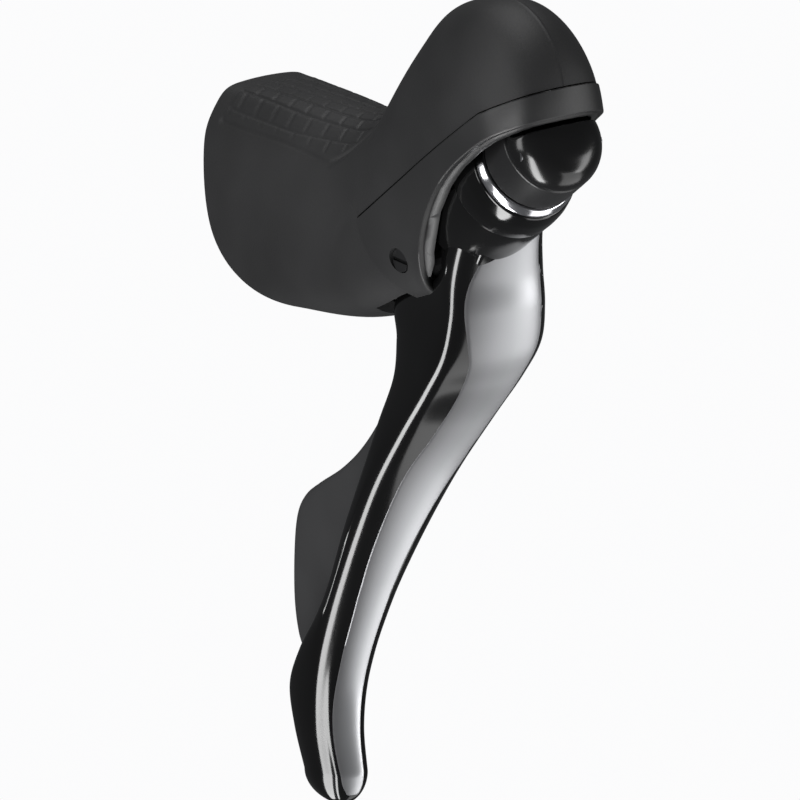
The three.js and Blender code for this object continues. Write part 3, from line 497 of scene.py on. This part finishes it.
def hood_rows():
    """Outer rows with their relief, tucked in at the front rim, and inner rows one wall deeper."""
    share = crowded(HOOD_ROWS, 0.5, 0.66)
    along, columns = np.meshgrid(share, around, indexing="ij")
    smooth = body_point(along, columns)
    tuck = 0.15 * step(along, 0.994, 1)
    outer = smooth - body_normal(along, columns) * (hood_relief(smooth) + tuck)[..., None]
    back, back_columns = np.meshgrid(np.linspace(1, 0, 60), around, indexing="ij")
    inner = body_point(back, back_columns) - HOOD_WALL * body_normal(back, back_columns)
    return np.concatenate((outer, inner))


hood = piece("rubber_hood", [shell(hood_rows(), ring=True)], "bracket", rubber)
combine(hood, [prism(UNDERSIDE_SLOT, -SLOT_HALF, SLOT_HALF)], "DIFFERENCE", smooth_under=55)
combine(hood, [bare_region(0)], "DIFFERENCE", smooth_under=55)
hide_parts("hood_cover")

# %% [markdown]
# In front of the seam the bracket itself is bare: a hard composite rim round the front opening, and
# a side panel with the hole of the brake pivot. It is the same flowing surface, standing a little
# proud of the rubber, with a rolled front lip and an inner face. It lies over the bracket's own
# solid, whose skin is cut back there, and which keeps the pivot bosses and the passages inside.

# %% The bare front of the bracket
SEAM_GAP = 0.35
FRONT_PROUD = 0.42
FRONT_WALL = 2.7
FRONT_LEAD = 0.55
FRONT_FROM = 0.25  # share along the body where the rows start, well behind the seam
LIP_STEPS = 9
CORE_GAP = 0.6


def front_rows(proud, wall, lead):
    """Outer rows up to the front lip, a round over the lip that leads it, and inner rows back."""
    along, columns = np.meshgrid(np.linspace(FRONT_FROM, 1, 110), front_around, indexing="ij")
    outer = body_point(along, columns) + proud * body_normal(along, columns)
    rim = body_point(np.ones_like(front_around), front_around)
    rim_normal = body_normal(np.ones_like(front_around), front_around)
    ahead = rim - body_point(np.full_like(front_around, 0.985), front_around)
    ahead /= np.linalg.norm(ahead, axis=-1, keepdims=True)
    turn = np.linspace(0, np.pi, LIP_STEPS + 2)[1:-1][:, None, None]
    half_wall = (wall + proud) / 2
    middle = rim + rim_normal * (proud - half_wall)
    squared = np.sign(np.cos(turn)) * np.abs(np.cos(turn)) ** 0.6
    lip = middle + half_wall * squared * rim_normal + lead * np.sin(turn) ** 0.7 * ahead
    back, back_columns = np.meshgrid(np.linspace(1, FRONT_FROM, 60), front_around, indexing="ij")
    inner = body_point(back, back_columns) - wall * body_normal(back, back_columns)
    return np.concatenate((outer, lip, inner))


front_around = np.concatenate((np.linspace(0, 0.5, 150)[:-1], np.linspace(0.5, 1, 150)[:-1]))
front_wall = shell(front_rows(FRONT_PROUD, FRONT_WALL, FRONT_LEAD), ring=True)
bracket_front = piece("bracket_front", [front_wall], "bracket", composite)


# %% [markdown]
# The pivot hole goes through both side panels, and the inner lip is cut back under the rim so that
# the lever can swing inwards. Both are first cut out of the bare region's prism, and the front then
# keeps what lies inside that. The core loses a skin of the same surface, from proud of it to
# under it, so that nothing of it shows beside the front.

# %% Holes in the bare front
AXLE = np.array([56.5, 2.6])


def turned_rows(profile, turn_steps, centre=(0, 0, 0)):
    """A profile of (radius, height) points turned about a line along Y through the centre."""
    angle = np.linspace(0, 2 * np.pi, turn_steps, endpoint=False)
    radius, height = np.asarray(profile, float).T
    x = centre[0] + radius[:, None] * np.cos(angle)
    z = centre[2] + radius[:, None] * np.sin(angle)
    y = np.broadcast_to(centre[1] + height[:, None], x.shape)
    return np.stack((x, y, z), axis=-1)


def merged_copy(node, name, material):
    """The node's own mesh as a new piece, with its loose triangles joined along their edges."""
    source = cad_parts[node].data
    mesh = source.copy()
    work = bmesh.new()
    work.from_mesh(mesh)
    bmesh.ops.remove_doubles(work, verts=work.verts, dist=1e-6)
    work.to_mesh(mesh)
    work.free()
    mesh.materials.clear()
    mesh.materials.append(material)
    mesh.polygons.foreach_set("material_index", np.zeros(len(mesh.polygons), dtype=int))
    made = bpy.data.objects.new(name, mesh)
    bpy.context.scene.collection.objects.link(made)
    print(name, "merged to", len(mesh.vertices), "points")
    return made


core = merged_copy("bracket_body", "bracket_core", composite)
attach(core, "bracket")
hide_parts("bracket_body")
skin_wall = shell(front_rows(proud=2.5, wall=0.9, lead=3.0), ring=True)
skin = piece("front_skin", [skin_wall], "bracket", composite)
combine(skin, [bare_region(CORE_GAP)], "INTERSECT")
combine(core, [taken(skin)], "DIFFERENCE")

hole = turned_rows([(2.6, -30), (2.6, 30)], 40, (AXLE[0], 0, AXLE[1]))
relief = prism([[62.8, -9], [80, -9], [80, 20], [70, 20], [64.4, 13.6], [60.0, 6], [60.0, -6]], 8.5, 25)
region = piece("front_region", [bare_region(SEAM_GAP)], "bracket", composite)
combine(region, [shell(hole), relief], "DIFFERENCE")
combine(bracket_front, [taken(region)], "INTERSECT")

# %% [markdown]
# The blade is one hollow channel, bent and twisted from the head down to a rounded tip. Level slices
# give where its front outer corner runs, how wide its face is and how far its two flanks reach back.
# A smooth curve through the slices gives every level between them, and a closed B-spline through
# each level's outline rounds its corners.

# %% The blade's levels
#          level   crest X  crest Y  across outer inner
SLICES = np.array([
    [22.0, 76.6, -7.6, 15.6, 8.0, 6.0],
    [15.0, 73.2, -8.6, 17.4, 8.0, 6.0],
    [8.0, 70.4, -9.8, 19.6, 7.6, 5.0],
    [0.0, 68.6, -10.4, 21.6, 6.2, 4.6],
    [-8.0, 68.4, -10.9, 22.8, 20.0, 4.6],
    [-16.0, 66.8, -11.6, 23.8, 17.4, 4.6],
    [-24.0, 62.2, -12.4, 23.6, 12.6, 4.6],
    [-34.0, 55.6, -13.4, 22.2, 9.6, 4.6],
    [-46.0, 48.6, -14.7, 20.0, 6.6, 4.4],
    [-58.0, 43.4, -15.9, 17.4, 5.6, 4.2],
    [-70.0, 39.0, -17.0, 15.0, 4.8, 4.2],
    [-78.0, 36.6, -17.8, 13.8, 5.9, 4.4],
    [-86.0, 34.8, -18.6, 12.8, 8.8, 5.0],
    [-94.0, 34.2, -19.3, 11.8, 10.8, 6.0],
    [-102.0, 35.2, -19.9, 11.0, 9.2, 6.0],
    [-110.0, 37.4, -19.8, 10.2, 8.0, 5.6],
])
TIP_LOW = -116.6
BLADE_WALL = 2.4


def through(table, level):
    """Cubic Hermite curve through the rows of a table, with each slope from its two neighbours."""
    levels = table[:, 0]
    i = np.clip(np.searchsorted(-levels, -level, side="right") - 1, 0, len(levels) - 2)
    t = ((levels[i] - level) / (levels[i] - levels[i + 1]))[:, None]
    p1, p2 = table[i], table[i + 1]
    p0, p3 = table[np.clip(i - 1, 0, None)], table[np.clip(i + 2, None, len(levels) - 1)]
    m1, m2 = (p2 - p0) / 2, (p3 - p1) / 2
    ends = (2 * t**3 - 3 * t**2 + 1) * p1 + (3 * t**2 - 2 * t**3) * p2
    return ends + (t**3 - 2 * t**2 + t) * m1 + (t**3 - t**2) * m2


def blade_outline(slices):
    """Outside of each level from the outer flank over the crest to the inner flank, and back inside."""
    across, outer, inner = (slices[:, k] for k in (3, 4, 5))
    wall = np.full_like(across, BLADE_WALL)
    zero = np.zeros_like(across)
    back = np.stack((
        -outer - 0.7, -0.8 * outer, -0.6 * outer, -3.4 + zero, -1.9 + zero, -0.5 + zero, 0.5 + zero,
        1.5 + zero,
        2.1 + zero, 2.1 + zero, 1.6 + zero, 0.2 + zero, -1.2 + zero, -0.6 * inner, -inner,
        -inner, -2.6 + zero, -0.9 + zero, -0.6 + zero, -1.2 + zero, -2.2 + zero, -3.4 + zero, -0.8 * outer,
        -outer), axis=1)
    side = np.stack((
        0.5 + zero, 0.1 + zero, 0.0 + zero, 0.2 + zero, 0.8 + zero, 2.3 + zero, 0.26 * across, 0.46 * across,
        0.66 * across, 0.82 * across, 0.93 * across, across + 0.1, across + 0.3, across + 0.3, across + 0.1,
        across - 0.2 - wall, across - wall, 0.88 * across - 0.4 * wall, 0.6 * across, 0.4 * across,
        0.12 * across + 0.7 * wall, wall, wall + 0.2, 0.5 + wall), axis=1)
    x = slices[:, 1:2] + back
    y = slices[:, 2:3] + side
    return np.stack((x, y, np.broadcast_to(slices[:, 0:1], x.shape)), axis=-1)


def closed_spline(rows, samples):
    """Each row's closed control outline as a smooth loop of samples: B-spline weights, wrapped."""
    count = rows.shape[1]
    place = np.linspace(0, count, samples, endpoint=False)
    index = (np.floor(place).astype(int)[:, None] + np.arange(4) - 1) % count
    return np.einsum("sk,rskc->rsc", spline_weights(place), rows[:, index])


BLADE_AROUND = 168


def blade_rows():
    """Levels from the head to the last slice, then a half round that closes the tip."""
    level = np.linspace(22, -110, 230)
    rows = closed_spline(blade_outline(through(SLICES, level)), BLADE_AROUND)
    last = rows[-1]
    middle = last.mean(axis=0) + (1.4, 0, 0)
    turn = np.linspace(0, np.radians(84), 24)[1:, None, None]
    tip = middle + (last - middle) * np.cos(turn)
    tip[..., 2] = level[-1] - (level[-1] - TIP_LOW) * np.sin(turn[..., 0])
    return np.concatenate((rows, tip))


blade_grid = blade_rows()
print("blade grid", blade_grid.shape)

# %% [markdown]
# Above the blade the lever widens into its head: a ring about the shift axis that turns behind the
# collar, with a skirt over the lower half of the ratchet. The shift axis rises forward at 38
# degrees, so these pieces are worked out about their own Z axis and then placed on the axis.

# %% The shift axis
UNIT_SLOPE = np.radians(38)
UNIT_SEAM = np.array([87.0, 0.0, 31.9])
AHEAD = np.array([np.cos(UNIT_SLOPE), 0, np.sin(UNIT_SLOPE)])
DOWN = np.array([np.sin(UNIT_SLOPE), 0, -np.cos(UNIT_SLOPE)])
ACROSS = np.array([0.0, 1.0, 0.0])


def on_axis(points):
    """Place points given as (down, across, ahead) of the seam on the shift axis."""
    return UNIT_SEAM + points[..., :1] * DOWN + points[..., 1:2] * ACROSS + points[..., 2:] * AHEAD


def turned_on_axis(profile, turn_steps=120, low=0.0, high=2 * np.pi):
    """A (radius, ahead) profile turned about the shift axis; angle 0 points down."""
    closed = high - low > 6.28
    angle = np.linspace(low, high, turn_steps, endpoint=not closed)
    radius, ahead = np.asarray(profile, float).T
    x = radius[:, None] * np.cos(angle)
    y = radius[:, None] * np.sin(angle)
    return on_axis(np.stack((x, y, np.broadcast_to(ahead[:, None], x.shape)), axis=-1))


def rounded(profile, radius=0.35, steps=5):
    """The closed profile with every corner replaced by a short quadratic curve."""
    points = np.asarray(profile, float)
    before, after = np.roll(points, 1, axis=0), np.roll(points, -1, axis=0)
    reach_in = np.minimum(radius / np.linalg.norm(before - points, axis=1), 0.45)[:, None]
    reach_out = np.minimum(radius / np.linalg.norm(after - points, axis=1), 0.45)[:, None]
    start, end = points + (before - points) * reach_in, points + (after - points) * reach_out
    t = np.linspace(0, 1, steps)[None, :, None]
    curve = (1 - t) ** 2 * start[:, None] + 2 * t * (1 - t) * points[:, None] + t**2 * end[:, None]
    return curve.reshape(-1, 2)


print("shift axis from", UNIT_SEAM, "along", AHEAD.round(3))

# %% [markdown]
# The head is a thick ring with rounded edges, and its skirt is a curved plate that starts inside it.

# %% The lever's head
HEAD_PROFILE = [(8.3, -19.6), (12.0, -19.6), (12.1, -17.0), (11.95, -14.4), (11.3, -11.3), (8.3, -11.3)]
head = shell(turned_on_axis(rounded(HEAD_PROFILE, 0.5)), ring=True)
skirt_angle = np.radians(95)
SKIRT_PROFILE = [(10.4, -33.6), (12.0, -33.6), (12.0, -19.0), (10.4, -19.0)]
skirt_rows = turned_on_axis(rounded(SKIRT_PROFILE, 0.4), 90, -skirt_angle, skirt_angle)
skirt = shell(np.swapaxes(skirt_rows, 0, 1))
print("head faces", len(head[1]) + len(skirt[1]))

# %% [markdown]
# Under the head a short neck carries it on the blade. Its sections are rounded rectangles whose
# front face curves in from the head's lower edge to the blade's face.

# %% The neck
#         level  rear X front X  half width
NECK = np.array([
    [23.0, 71.0, 81.6, 8.4],
    [18.0, 68.0, 81.3, 8.8],
    [14.0, 67.0, 79.0, 8.0],
    [10.0, 66.8, 75.2, 6.8],
    [6.0, 66.6, 72.0, 6.0],
    [2.0, 66.4, 69.4, 5.6],
    [-2.0, 66.2, 67.6, 5.4],
])


def rounded_section(table, around_steps, power):
    """Superellipse sections: |x|^p + |y|^p = 1 stretched to each level's depth and width."""
    angle = np.linspace(0, 2 * np.pi, around_steps, endpoint=False)
    cosine, sine = np.cos(angle), np.sin(angle)
    round_x = np.sign(cosine) * np.abs(cosine) ** (2 / power)
    round_y = np.sign(sine) * np.abs(sine) ** (2 / power)
    middle = (table[:, 1] + table[:, 2])[:, None] / 2
    depth = (table[:, 2] - table[:, 1])[:, None] / 2
    x = middle + depth * round_x
    y = table[:, 3:4] * round_y
    return np.stack((x, y, np.broadcast_to(table[:, 0:1], x.shape)), axis=-1)


neck = shell(rounded_section(through(NECK, np.linspace(23, -2, 60)), 96, 3.2))

lever = piece("lever_blade", [shell(blade_grid), head, skirt, neck], "main_lever_body", gloss)
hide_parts("main_lever")

# %% [markdown]
# A bright bevelled ring finishes the head behind the collar, and the collar and the round cap stand
# in front of it. The cap is a low dome whose upper side is cut away so that it passes under the rim
# when the brake is pulled.

# %% Ring, collar and cap
RING_PROFILE = [(8.3, -11.2), (11.1, -11.2), (11.0, -10.7), (10.4, -9.4), (8.3, -9.4)]
ring = piece("bevel_ring", [shell(turned_on_axis(rounded(RING_PROFILE, 0.25), 160), ring=True)],
             "main_lever_body", chrome)
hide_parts("hub_trim_ring")

COLLAR_PROFILE = [(2.9, -9.0), (9.7, -9.0), (10.3, -8.5), (10.3, -0.7), (9.9, -0.3), (8.8, -0.3),
                  (8.8, -7.4), (2.9, -7.4)]
collar = piece("shift_collar", [shell(turned_on_axis(rounded(COLLAR_PROFILE, 0.2), 160), ring=True)],
               "carrier", collar_satin)
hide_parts("unit_collar")

CAP_SHAPE = np.array([(10.2, 0.0), (10.3, 0.15), (10.28, 0.9), (10.15, 1.8), (9.75, 3.0), (9.1, 4.2),
                      (8.2, 5.1), (7.0, 5.7), (5.2, 6.05), (3.0, 6.17), (1.0, 6.2)])
CAP_CUT_AT = -1.9
CAP_FLAT = -8.6
CAP_SWEEP = 44.3
AXLE_ON_UNIT = (4.3, -42.1)  # the brake axle, down and ahead of the seam on the shift axis
CAP_HOLLOW = [(1.0, 3.6), (5.0, 3.4), (7.8, 2.6), (8.4, 0.0)]


def smooth_profile(points, samples):
    """Open B-spline along a profile with its ends held."""
    held = np.vstack((points[:1], points[:1], points, points[-1:], points[-1:]))
    place = np.linspace(0, len(held) - 3 - 1e-6, samples)
    index = np.floor(place).astype(int)[:, None] + np.arange(4)
    return np.einsum("sk,skc->sc", spline_weights(place), held[index])


def cap_rows():
    """The dome turned about the axis, lowered where it would reach past the sweep of the pivot."""
    angle = np.linspace(0, 2 * np.pi, 160, endpoint=False)
    outside = smooth_profile(CAP_SHAPE, 60)
    profile = np.vstack((np.asarray(CAP_HOLLOW), outside[:1], outside))
    down = profile[:, :1] * np.cos(angle)
    across = profile[:, :1] * np.sin(angle)
    ahead = np.broadcast_to(profile[:, 1:], down.shape).copy()
    axle_down, axle_ahead = AXLE_ON_UNIT
    allowed = np.sqrt(CAP_SWEEP**2 - (down - axle_down) ** 2) + axle_ahead
    lowered = np.minimum(ahead, np.maximum(allowed, 0.3))
    share = 1 - step(down, CAP_CUT_AT - 0.8, CAP_CUT_AT + 0.6)
    ahead = ahead + (lowered - ahead) * share
    return on_axis(np.stack((np.clip(down, CAP_FLAT, None), across, ahead), axis=-1))


cap = piece("round_cap", [shell(cap_rows())], "carrier", cap_gloss)
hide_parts("name_cap")

# %% [markdown]
# The blade's face carries a satin silver inlay. It lies on the same surface as the blade, between
# two edges given as shares of the way round each level, and stands a tenth of a millimetre proud of
# it. Its own UV map runs across and along it, and its colour ramp across runs from a dark outer edge
# to a light inner edge: partly the face's own graded anodising, partly painted reflection.

# %% The silver face
#                  level  outer edge  inner edge, as shares of the face's width
FACE_EDGES = np.array([
    [9.4, 0.54, 0.78],
    [8.2, 0.43, 0.92],
    [6.0, 0.32, 0.935],
    [3.0, 0.245, 0.94],
    [-2.0, 0.16, 0.945],
    [-7.0, 0.14, 0.945],
    [-14.0, 0.21, 0.94],
    [-20.0, 0.30, 0.935],
    [-28.0, 0.35, 0.935],
    [-36.0, 0.34, 0.93],
    [-44.0, 0.285, 0.90],
    [-54.0, 0.27, 0.84],
    [-64.0, 0.28, 0.81],
    [-76.0, 0.32, 0.81],
    [-88.0, 0.325, 0.81],
    [-98.0, 0.29, 0.81],
    [-108.0, 0.31, 0.80],
    [-112.0, 0.36, 0.77],
    [-114.6, 0.50, 0.68],
])
FACE_PROUD = 0.12
FACE_BURIED = 0.4
FACE_EDGE_SUNK = 0.05
FACE_ACROSS = 40


def face_samples():
    """For each level, where the blade's outside crosses even shares of the face's width."""
    level = np.concatenate((np.linspace(9.4, 3, 24), np.linspace(2.6, -114.6, 190)))
    table = through(FACE_EDGES, level)
    rows = blade_grid[:, 12 : BLADE_AROUND * 15 // 24]
    row_level = rows[:, :, 2].mean(axis=1)
    slices = through(SLICES, np.clip(row_level, -110, 22))
    crest_y, width = slices[:, 2], slices[:, 3]
    share = (rows[:, :, 1] - crest_y[:, None]) / width[:, None]
    wanted = np.linspace(0, 1, FACE_ACROSS)
    on_face = slice(8, None)
    points = []
    for z, outer_edge, inner_edge in table:
        place = np.interp(-z, -row_level, np.arange(len(row_level)))
        low = int(place)
        high = min(low + 1, len(rows) - 1)
        part = place - low
        line = rows[low] * (1 - part) + rows[high] * part
        line_share = share[low] * (1 - part) + share[high] * part
        target = outer_edge + (inner_edge - outer_edge) * wanted
        order = np.argsort(line_share[on_face])
        known = line_share[on_face][order]
        spots = [np.interp(target, known, line[on_face][order, k]) for k in range(3)]
        points.append(np.stack(spots, axis=-1))
    return np.array(points)


face_grid = face_samples()
lengthways = np.gradient(face_grid, axis=0)
sideways = np.gradient(face_grid, axis=1)
face_normal = np.cross(lengthways, sideways)
face_normal /= np.maximum(np.linalg.norm(face_normal, axis=-1, keepdims=True), 1e-9)
face_normal *= np.sign(face_normal[..., :1].mean())
edge = np.linspace(0, 1, face_grid.shape[1])
soft = step(edge, 0, 0.03) * (1 - step(edge, 0.97, 1))
end = step(np.arange(len(face_grid)), 0, 2)[:, None] * step(np.arange(len(face_grid))[::-1], 0, 2)[:, None]
lift = FACE_PROUD * soft * end - FACE_EDGE_SUNK * (1 - soft * end)
raised = face_grid + face_normal * lift[..., None]
sunk = face_grid[:, ::-1] - face_normal[:, ::-1] * FACE_BURIED
face_rows = np.concatenate((raised, sunk), axis=1)


def silver_with_painted_reflection():
    """Satin metal, dark at the outer edge and light at the inner: own grading plus painted reflection."""
    material = finish("face_silver", (grey(0.4), grey(0.5)), (0.34, 0.4), 0.75, bump=0.006, brushed=True)
    tree = material.node_tree
    shader = tree.nodes["Principled BSDF"]
    where = tree.nodes.new("ShaderNodeUVMap")
    where.uv_map = "face"
    split = tree.nodes.new("ShaderNodeSeparateXYZ")
    # The ramp paints the face dark at its outer edge and light at its inner edge: partly its own grading,
    # partly painted reflection.
    ramp = tree.nodes.new("ShaderNodeValToRGB")
    stops = ramp.color_ramp.elements
    stops[0].position, stops[0].color = 0.0, (0.14, 0.14, 0.145, 1)
    stops[1].position, stops[1].color = 1.0, (0.56, 0.565, 0.58, 1)
    middle = stops.new(0.55)
    middle.color = (0.33, 0.335, 0.345, 1)
    tree.links.new(where.outputs["UV"], split.inputs["Vector"])
    tree.links.new(split.outputs["X"], ramp.inputs["Fac"])
    tree.links.new(ramp.outputs["Color"], shader.inputs["Base Color"])
    return material


inlay = piece("face_inlay", [shell(face_rows)], "main_lever_body", silver_with_painted_reflection())
uv = inlay.data.uv_layers.new(name="face")
across_share = np.concatenate((edge, edge[::-1]))
per_vertex = np.zeros((len(inlay.data.vertices), 2))
count = face_rows.shape[0] * face_rows.shape[1]
per_vertex[:count, 0] = np.tile(across_share, face_rows.shape[0])
per_vertex[:count, 1] = np.repeat(np.linspace(0, 1, face_rows.shape[0]), face_rows.shape[1])
corner = np.zeros(len(inlay.data.loops), dtype=int)
inlay.data.loops.foreach_get("vertex_index", corner)
uv.data.foreach_set("uv", per_vertex[corner].ravel())

# %% [markdown]
# The second shift paddle stands behind the blade: a flat arm that widens into a finger pad, with
# its edges rounded over, and a ring and a tab at its top that turn on the shift shaft.

# %% The paddle
#           level  rear X front X  outer Y
PADDLE = np.array([
    [7.0, 62.4, 65.9, -5.0],
    [-2.0, 61.4, 64.6, -5.0],
    [-10.0, 58.0, 63.0, -6.8],
    [-20.0, 50.8, 57.6, -8.6],
    [-34.0, 43.0, 49.0, -10.0],
    [-42.0, 37.4, 44.4, -10.9],
    [-48.0, 31.0, 41.0, -11.4],
    [-53.0, 23.6, 38.6, -11.6],
    [-57.0, 18.4, 36.6, -11.6],
    [-62.0, 15.4, 34.6, -11.6],
    [-70.0, 14.3, 32.4, -11.6],
    [-80.0, 14.4, 29.4, -11.6],
    [-87.0, 16.0, 28.0, -11.6],
    [-90.4, 18.6, 26.6, -11.6],
])
PADDLE_THICKNESS = 2.2
CORNER_POWER = 2 / 7
EDGE_POWER = 0.45


def paddle_rows():
    """Rounded flat sections down the paddle, with the last few drawn together at its lower edge."""
    table = through(PADDLE, np.linspace(7, -90.4, 150))
    half_width = (table[:, 2] - table[:, 1]) / 2
    angle = np.linspace(0, 2 * np.pi, 96, endpoint=False)
    cosine, sine = np.cos(angle), np.sin(angle)
    middle = (table[:, 1] + table[:, 2]) / 2
    x = middle[:, None] + half_width[:, None] * np.sign(cosine) * np.abs(cosine) ** CORNER_POWER
    thick = PADDLE_THICKNESS / 2 * np.sign(sine) * np.abs(sine) ** EDGE_POWER
    y = table[:, 3:4] + PADDLE_THICKNESS / 2 + thick
    z = np.broadcast_to(table[:, 0:1], x.shape)
    rows = np.stack((x, y, z), axis=-1)
    last = rows[-1]
    centre = last.mean(axis=0)
    turn = np.linspace(0, np.radians(80), 10)[1:, None, None]
    closing = centre + (last - centre) * np.cos(turn)
    closing[..., 2] = last[:, 2] - 1.1 * np.sin(turn[..., 0])
    return np.concatenate((rows, closing))


PADDLE_RING_PROFILE = [(2.9, -33.3), (6.3, -33.3), (6.3, -31.5), (2.9, -31.5)]
paddle_ring = shell(turned_on_axis(rounded(PADDLE_RING_PROFILE, 0.2), 90), ring=True)
TAB = np.array([[4.2, -4.9], [8.7, -4.9], [8.7, 0.9], [4.2, 0.9]])
tab_rows = np.stack([on_axis(np.column_stack((TAB, np.full(4, ahead)))) for ahead in (-33.3, -31.5)])
paddle = piece("shift_paddle_pad", [shell(paddle_rows()), paddle_ring, shell(tab_rows)],
               "paddle_body", paddle_black)
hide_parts("shift_paddle")

# %% [markdown]
# The camera stands far off with a long lens, so that the view has almost no perspective. Its right,
# up and back directions also place the lights.

# %% Camera
AZIMUTH, ELEVATION = np.radians(55), np.radians(18)
RIGHT = np.array([np.cos(AZIMUTH), np.sin(AZIMUTH), 0])
UP = np.array([-np.sin(ELEVATION) * np.sin(AZIMUTH), np.sin(ELEVATION) * np.cos(AZIMUTH), np.cos(ELEVATION)])
BACK = np.cross(RIGHT, UP)
TARGET = 0.02026 * RIGHT - 0.042 * UP
CAMERA_DISTANCE = 4.0

camera_data = bpy.data.cameras.new("camera")
camera_data.lens = 900
camera_data.sensor_width = 36
camera_data.clip_end = 50
camera = bpy.data.objects.new("camera", camera_data)
bpy.context.scene.collection.objects.link(camera)
camera.location = Vector(TARGET + CAMERA_DISTANCE * BACK)
camera.rotation_euler = Vector(-BACK).to_track_quat("-Z", "Y").to_euler()
bpy.context.scene.camera = camera
print("camera at", np.round(camera.location, 3))


# %% [markdown]
# The set is a pale floor under the blade's tip and a world that is white to the camera and dim to
# everything else. The floor is seen by the camera only, so it throws no glare into the gloss.

# %% Floor and world
BACKDROP = (0.97, 0.97, 0.975, 1)
FLOOR_LEVEL = -118.5 * MM


def floor_paint():
    """Even pale white, the same from every side."""
    material = bpy.data.materials.new("floor_paint")
    material.use_nodes = True
    tree = material.node_tree
    even = tree.nodes.new("ShaderNodeEmission")
    even.inputs["Color"].default_value = BACKDROP
    tree.links.new(even.outputs["Emission"], tree.nodes["Material Output"].inputs["Surface"])
    return material


bpy.ops.mesh.primitive_plane_add(size=60, location=(0, 0, FLOOR_LEVEL))
floor = bpy.context.object
floor.name = "floor"
floor.data.materials.append(floor_paint())
floor.visible_diffuse = False
floor.visible_glossy = False
floor.visible_transmission = False
floor.visible_shadow = False

WORLD_LIGHT = 0.1
world = bpy.data.worlds.new("studio")
bpy.context.scene.world = world
world.use_nodes = True
sky = world.node_tree
dim = sky.nodes["Background"]
dim.inputs["Color"].default_value = (0.95, 0.97, 1.0, 1)
dim.inputs["Strength"].default_value = WORLD_LIGHT
white = sky.nodes.new("ShaderNodeBackground")
white.inputs["Color"].default_value = BACKDROP
path = sky.nodes.new("ShaderNodeLightPath")
either = sky.nodes.new("ShaderNodeMixShader")
sky.links.new(path.outputs["Is Camera Ray"], either.inputs["Fac"])
sky.links.new(dim.outputs["Background"], either.inputs[1])
sky.links.new(white.outputs["Background"], either.inputs[2])
sky.links.new(either.outputs["Shader"], sky.nodes["World Output"].inputs["Surface"])


# %% [markdown]
# The soft boxes face the lever from the camera's own left, right, above and below. The tall narrow
# one low on the left draws the long streak down the blade's crest.

# %% Soft boxes
def camera_way(right, up, back):
    """A direction given in the camera's own axes."""
    return right * RIGHT + up * UP + back * BACK


def soft_box(name, direction, distance, size, long_way, watts):
    """An area light out along a direction from the target, facing it, with its long side along long_way."""
    away = direction / np.linalg.norm(direction)
    long_side = long_way - away * np.dot(long_way, away)
    long_side /= np.linalg.norm(long_side)
    data = bpy.data.lights.new(name, "AREA")
    data.shape = "RECTANGLE"
    data.size, data.size_y = size
    data.energy = watts
    light = bpy.data.objects.new(name, data)
    bpy.context.scene.collection.objects.link(light)
    axes = np.column_stack((np.cross(long_side, away), long_side, away))
    matrix = np.eye(4)
    matrix[:3, :3] = axes
    matrix[:3, 3] = TARGET + away * distance
    light.matrix_world = Matrix(matrix.tolist())
    light.visible_camera = False
    return light


soft_box("streak", camera_way(-0.47, -0.88, 0.58), 1.2, (0.36, 1.7), camera_way(0.165, -0.43, -0.53), 26)
soft_box("face_glow", camera_way(0.75, -0.75, 0.1), 1.2, (0.8, 1.3), camera_way(0, 0.7, 0.7), 6)
soft_box("overhead", camera_way(-0.1, 1.0, 0.15), 1.6, (1.4, 1.0), RIGHT, 20)
soft_box("left_side", camera_way(-1.0, 0.35, 0.6), 1.5, (0.5, 1.2), UP, 9)
soft_box("right_side", camera_way(1.0, 0.0, 0.25), 1.4, (0.35, 1.2), UP, 7)
bpy.context.scene.view_settings.view_transform = "Standard"
